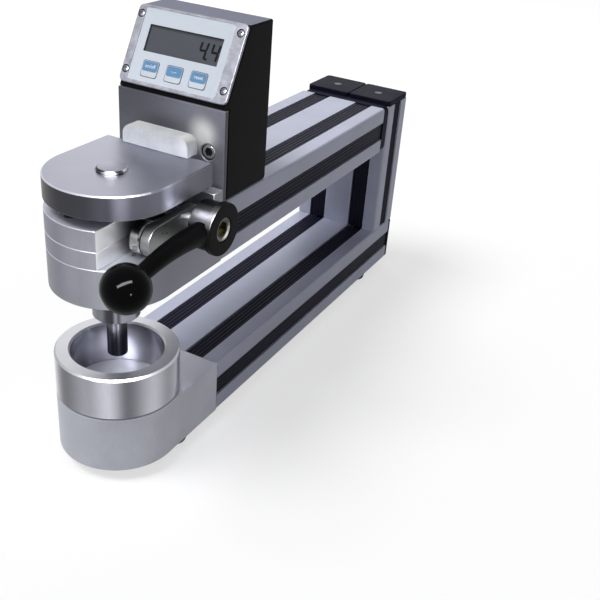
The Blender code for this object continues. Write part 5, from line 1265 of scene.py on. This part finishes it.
wide, tall, thick = digitSizes["width"], digitSizes["height"], digitSizes["stroke"]
four = ((0, tall / 2, thick, tall), (0, (tall - thick) / 2, wide, (tall + thick) / 2),
        (wide - thick, tall / 2, wide, tall), (wide - thick, 0, wide, tall / 2))
strokes = [stroke(segment(*bar), left) for left in digitSizes["places"] for bar in four]
strokes.append(stroke(roundedBox(0, thick, 0, thick, digitSizes["pointCorner"]), digitSizes["pointX"]))
piece("screen_digits", joined(strokes), finish("screen ink", inkLook), "stand", (), slope,
      weighted=False)

# keys: a white cap with a blue pad on its upper part and small white lettering
keyLook = {"light": (0.80, 0.86, 0.93), "dark": (0.74, 0.80, 0.88), "rough": (0.35, 0.5), "grain": 120}
keyEdgeLook = {
    "light": (0.16, 0.18, 0.22), "dark": (0.10, 0.11, 0.14), "rough": (0.4, 0.55), "grain": 200,
}
padLook = {
    "light": (0.22, 0.44, 0.72), "dark": (0.12, 0.31, 0.58), "rough": (0.28, 0.42), "grain": 160,
    "specular": 0.2, "cloud": 160, "bump": 0.05,
}
letterLook = {"light": (0.90, 0.94, 0.98), "dark": (0.82, 0.88, 0.95), "rough": (0.4, 0.5), "grain": 200}
keyWhite = finish("key white", keyLook)
keyEdge = finish("key edge", keyEdgeLook)
padBlue = finish("key blue", padLook)
letterWhite = finish("key lettering", letterLook)


def lettering(text, height, low, high):
    curve = bpy.data.curves.new("text", "FONT")
    curve.body = text
    curve.size = height
    curve.align_x = "CENTER"
    curve.align_y = "CENTER"
    curve.extrude = (high - low) / 2
    curve.offset = height * k["letterWeight"]
    holder = added("text", curve)
    mesh = bpy.data.meshes.new_from_object(holder.evaluated_get(bpy.context.evaluated_depsgraph_get()))
    shape = bmesh.new()
    shape.from_mesh(mesh)
    bmesh.ops.remove_doubles(shape, verts=shape.verts, dist=mergeWithin)
    bpy.data.objects.remove(holder, do_unlink=True)
    return moved(shape, 0, 0, (low + high) / 2)


wide, tall, flange = k["width"] / 2, k["height"] / 2, k["flange"]
for x, side, text in zip(k["x"], ("left", "middle", "right"), k["letters"]):
    place = slope @ Matrix.Translation((x, k["y"], 0))
    body = side + "_key"
    cap = softEdges(prism(roundedBox(-wide, wide, -tall, tall, k["corner"]), k["flangeTop"], k["top"]),
                    k["edge"], 2)
    base = block((-wide - flange, -tall - flange, k["back"]),
                 (wide + flange, tall + flange, k["flangeTop"] + k["overlap"]))
    key = piece("key_cap_" + side, carved(cap, [base], "UNION"), keyWhite, body, ["key_" + side],
                place, [keyEdge])
    paintWhere(key, 1, lambda at, normal: normal.z < facing["half"] or at.z < k["flangeTop"] + margin)
    inset = k["inset"]
    outline = roundedBox(-wide + inset, wide - inset, k["padLow"], tall - inset, k["padCorner"])
    pad = softEdges(prism(outline, k["top"] - k["padDepth"], k["padTop"]), k["padEdge"], 2)
    piece("key_pad_" + side, pad, padBlue, body, (), place)
    word = lettering(text, k["letterHeight"], k["padTop"] - k["letterRise"], k["padTop"] + k["letterRise"])
    piece("key_word_" + side, moved(word, 0, (k["padLow"] + tall) / 2, 0), letterWhite, body, (),
          place, weighted=False)

# inside the housing: board, battery, sensor
boardLook = {"light": (0.03, 0.20, 0.09), "dark": (0.01, 0.10, 0.045), "rough": (0.35, 0.5), "grain": 350}
batteryLook = {
    "light": (0.42, 0.42, 0.45), "dark": (0.20, 0.20, 0.22), "metal": 0.8, "rough": (0.25, 0.4),
    "grain": 300, "stretch": (0.1, 1, 1),
}
sensorLook = {
    "light": (0.03, 0.03, 0.034), "dark": (0.012, 0.012, 0.014), "rough": (0.45, 0.6), "grain": 900,
}
dress(finish("board green", boardLook), "display_board")
dress(finish("battery case", batteryLook), "battery")
dress(finish("sensor plastic", sensorLook), "sensor_head")
print("display done")


# floor, light and camera
floorLook = {"light": (0.45, 0.45, 0.455), "dark": (0.42, 0.42, 0.425), "grain": 3}
floorSizes = {"level": -0.0082, "half": 6.0, "squares": 8, "rough": 0.9, "specular": 0.1, "shown": 0.62}
floorMesh = bpy.data.meshes.new("floor")
shape = bmesh.new()
squares = floorSizes["squares"]
bmesh.ops.create_grid(shape, x_segments=squares, y_segments=squares, size=floorSizes["half"])
shape.to_mesh(floorMesh)
shape.free()
floor = added("floor", floorMesh)
floor.location = (0, 0, floorSizes["level"])
paper, tree, shader = newLook("pale floor")
tint = noiseOf(tree, stretched(tree), floorLook["grain"])
feed(tree, shader, {
    "Roughness": floorSizes["rough"], "Specular IOR Level": floorSizes["specular"],
    "Base Color": mixed(tree, tint, floorLook["dark"], floorLook["light"]), "Emission Color": (1, 1, 1),
    "Emission Strength": mathOf(tree, "MULTIPLY", seenOnly(tree), floorSizes["shown"]),
})
floorMesh.materials.append(paper)

worldSizes = {"lighting": 0.19, "shown": 1.0}
world = bpy.data.worlds.new("studio")
scene.world = world
world.use_nodes = True
tree = world.node_tree
tree.nodes.clear()
strength = ranged(tree, seenOnly(tree), 0, 1, worldSizes["lighting"], worldSizes["shown"])
background = nodeOf(tree, "Background", {"Color": (1, 1, 1), "Strength": strength})
nodeOf(tree, "OutputWorld", {"Surface": background.outputs[0]})

sunSizes = {"turn": (math.radians(20), math.radians(-24), 0), "strength": 2.1, "angle": math.radians(28)}
data = bpy.data.lights.new("overhead", "SUN")
data.energy = sunSizes["strength"]
data.angle = sunSizes["angle"]
sun = added("overhead", data)
sun.visible_glossy = False
sun.rotation_euler = sunSizes["turn"]


def aimed(thing, place, right, upward, back):
    # right, upward and back are the thing's own axes
    thing.matrix_world = Matrix.Translation(place) @ Matrix((right, upward, back)).transposed().to_4x4()


# lamps turned toward the ball; all but the first show only as reflections
lampTarget = Vector((0.054, -0.057, 0.156))
lamps = (
    {"name": "rearSheen", "place": (-0.80, 1.45, 0.95), "along": (1, 0, 0), "size": (1.2, 0.6), "power": 4},
    {"name": "aboveCamera", "place": (0.33, -0.56, 0.87), "along": (0.61, 0.74, 0.28), "size": (1.2, 0.18),
     "power": 54},
    {"name": "besideCamera", "place": (0.73, -0.48, 0.19), "along": (0.53, 0.85, 0), "size": (0.08, 0.08),
     "power": 1.6},
)
for lamp in lamps:
    data = bpy.data.lights.new(lamp["name"], "AREA")
    data.shape = "RECTANGLE"
    data.size, data.size_y = lamp["size"]
    data.energy = lamp["power"]
    light = added(lamp["name"], data)
    away = (Vector(lamp["place"]) - lampTarget).normalized()
    upward = away.cross(Vector(lamp["along"])).normalized()
    aimed(light, lamp["place"], upward.cross(away), upward, away)
    light.visible_diffuse = lamp is lamps[0]

cameraSizes = {
    "place": (0.31546, -0.38317, 0.38829), "right": (0.877, 0.475, 0.0725),
    "up": (-0.2905, 0.4039, 0.8675), "lens": 53.61, "sensor": 36, "near": 0.01,
}
data = bpy.data.cameras.new("camera")
data.lens = cameraSizes["lens"]
data.sensor_width = cameraSizes["sensor"]
data.clip_start = cameraSizes["near"]
camera = added("camera", data)
right = Vector(cameraSizes["right"]).normalized()
back = right.cross(Vector(cameraSizes["up"])).normalized()
aimed(camera, cameraSizes["place"], right, back.cross(right), back)
scene.camera = camera
scene.view_settings.view_transform = "Standard"
print("studio done")
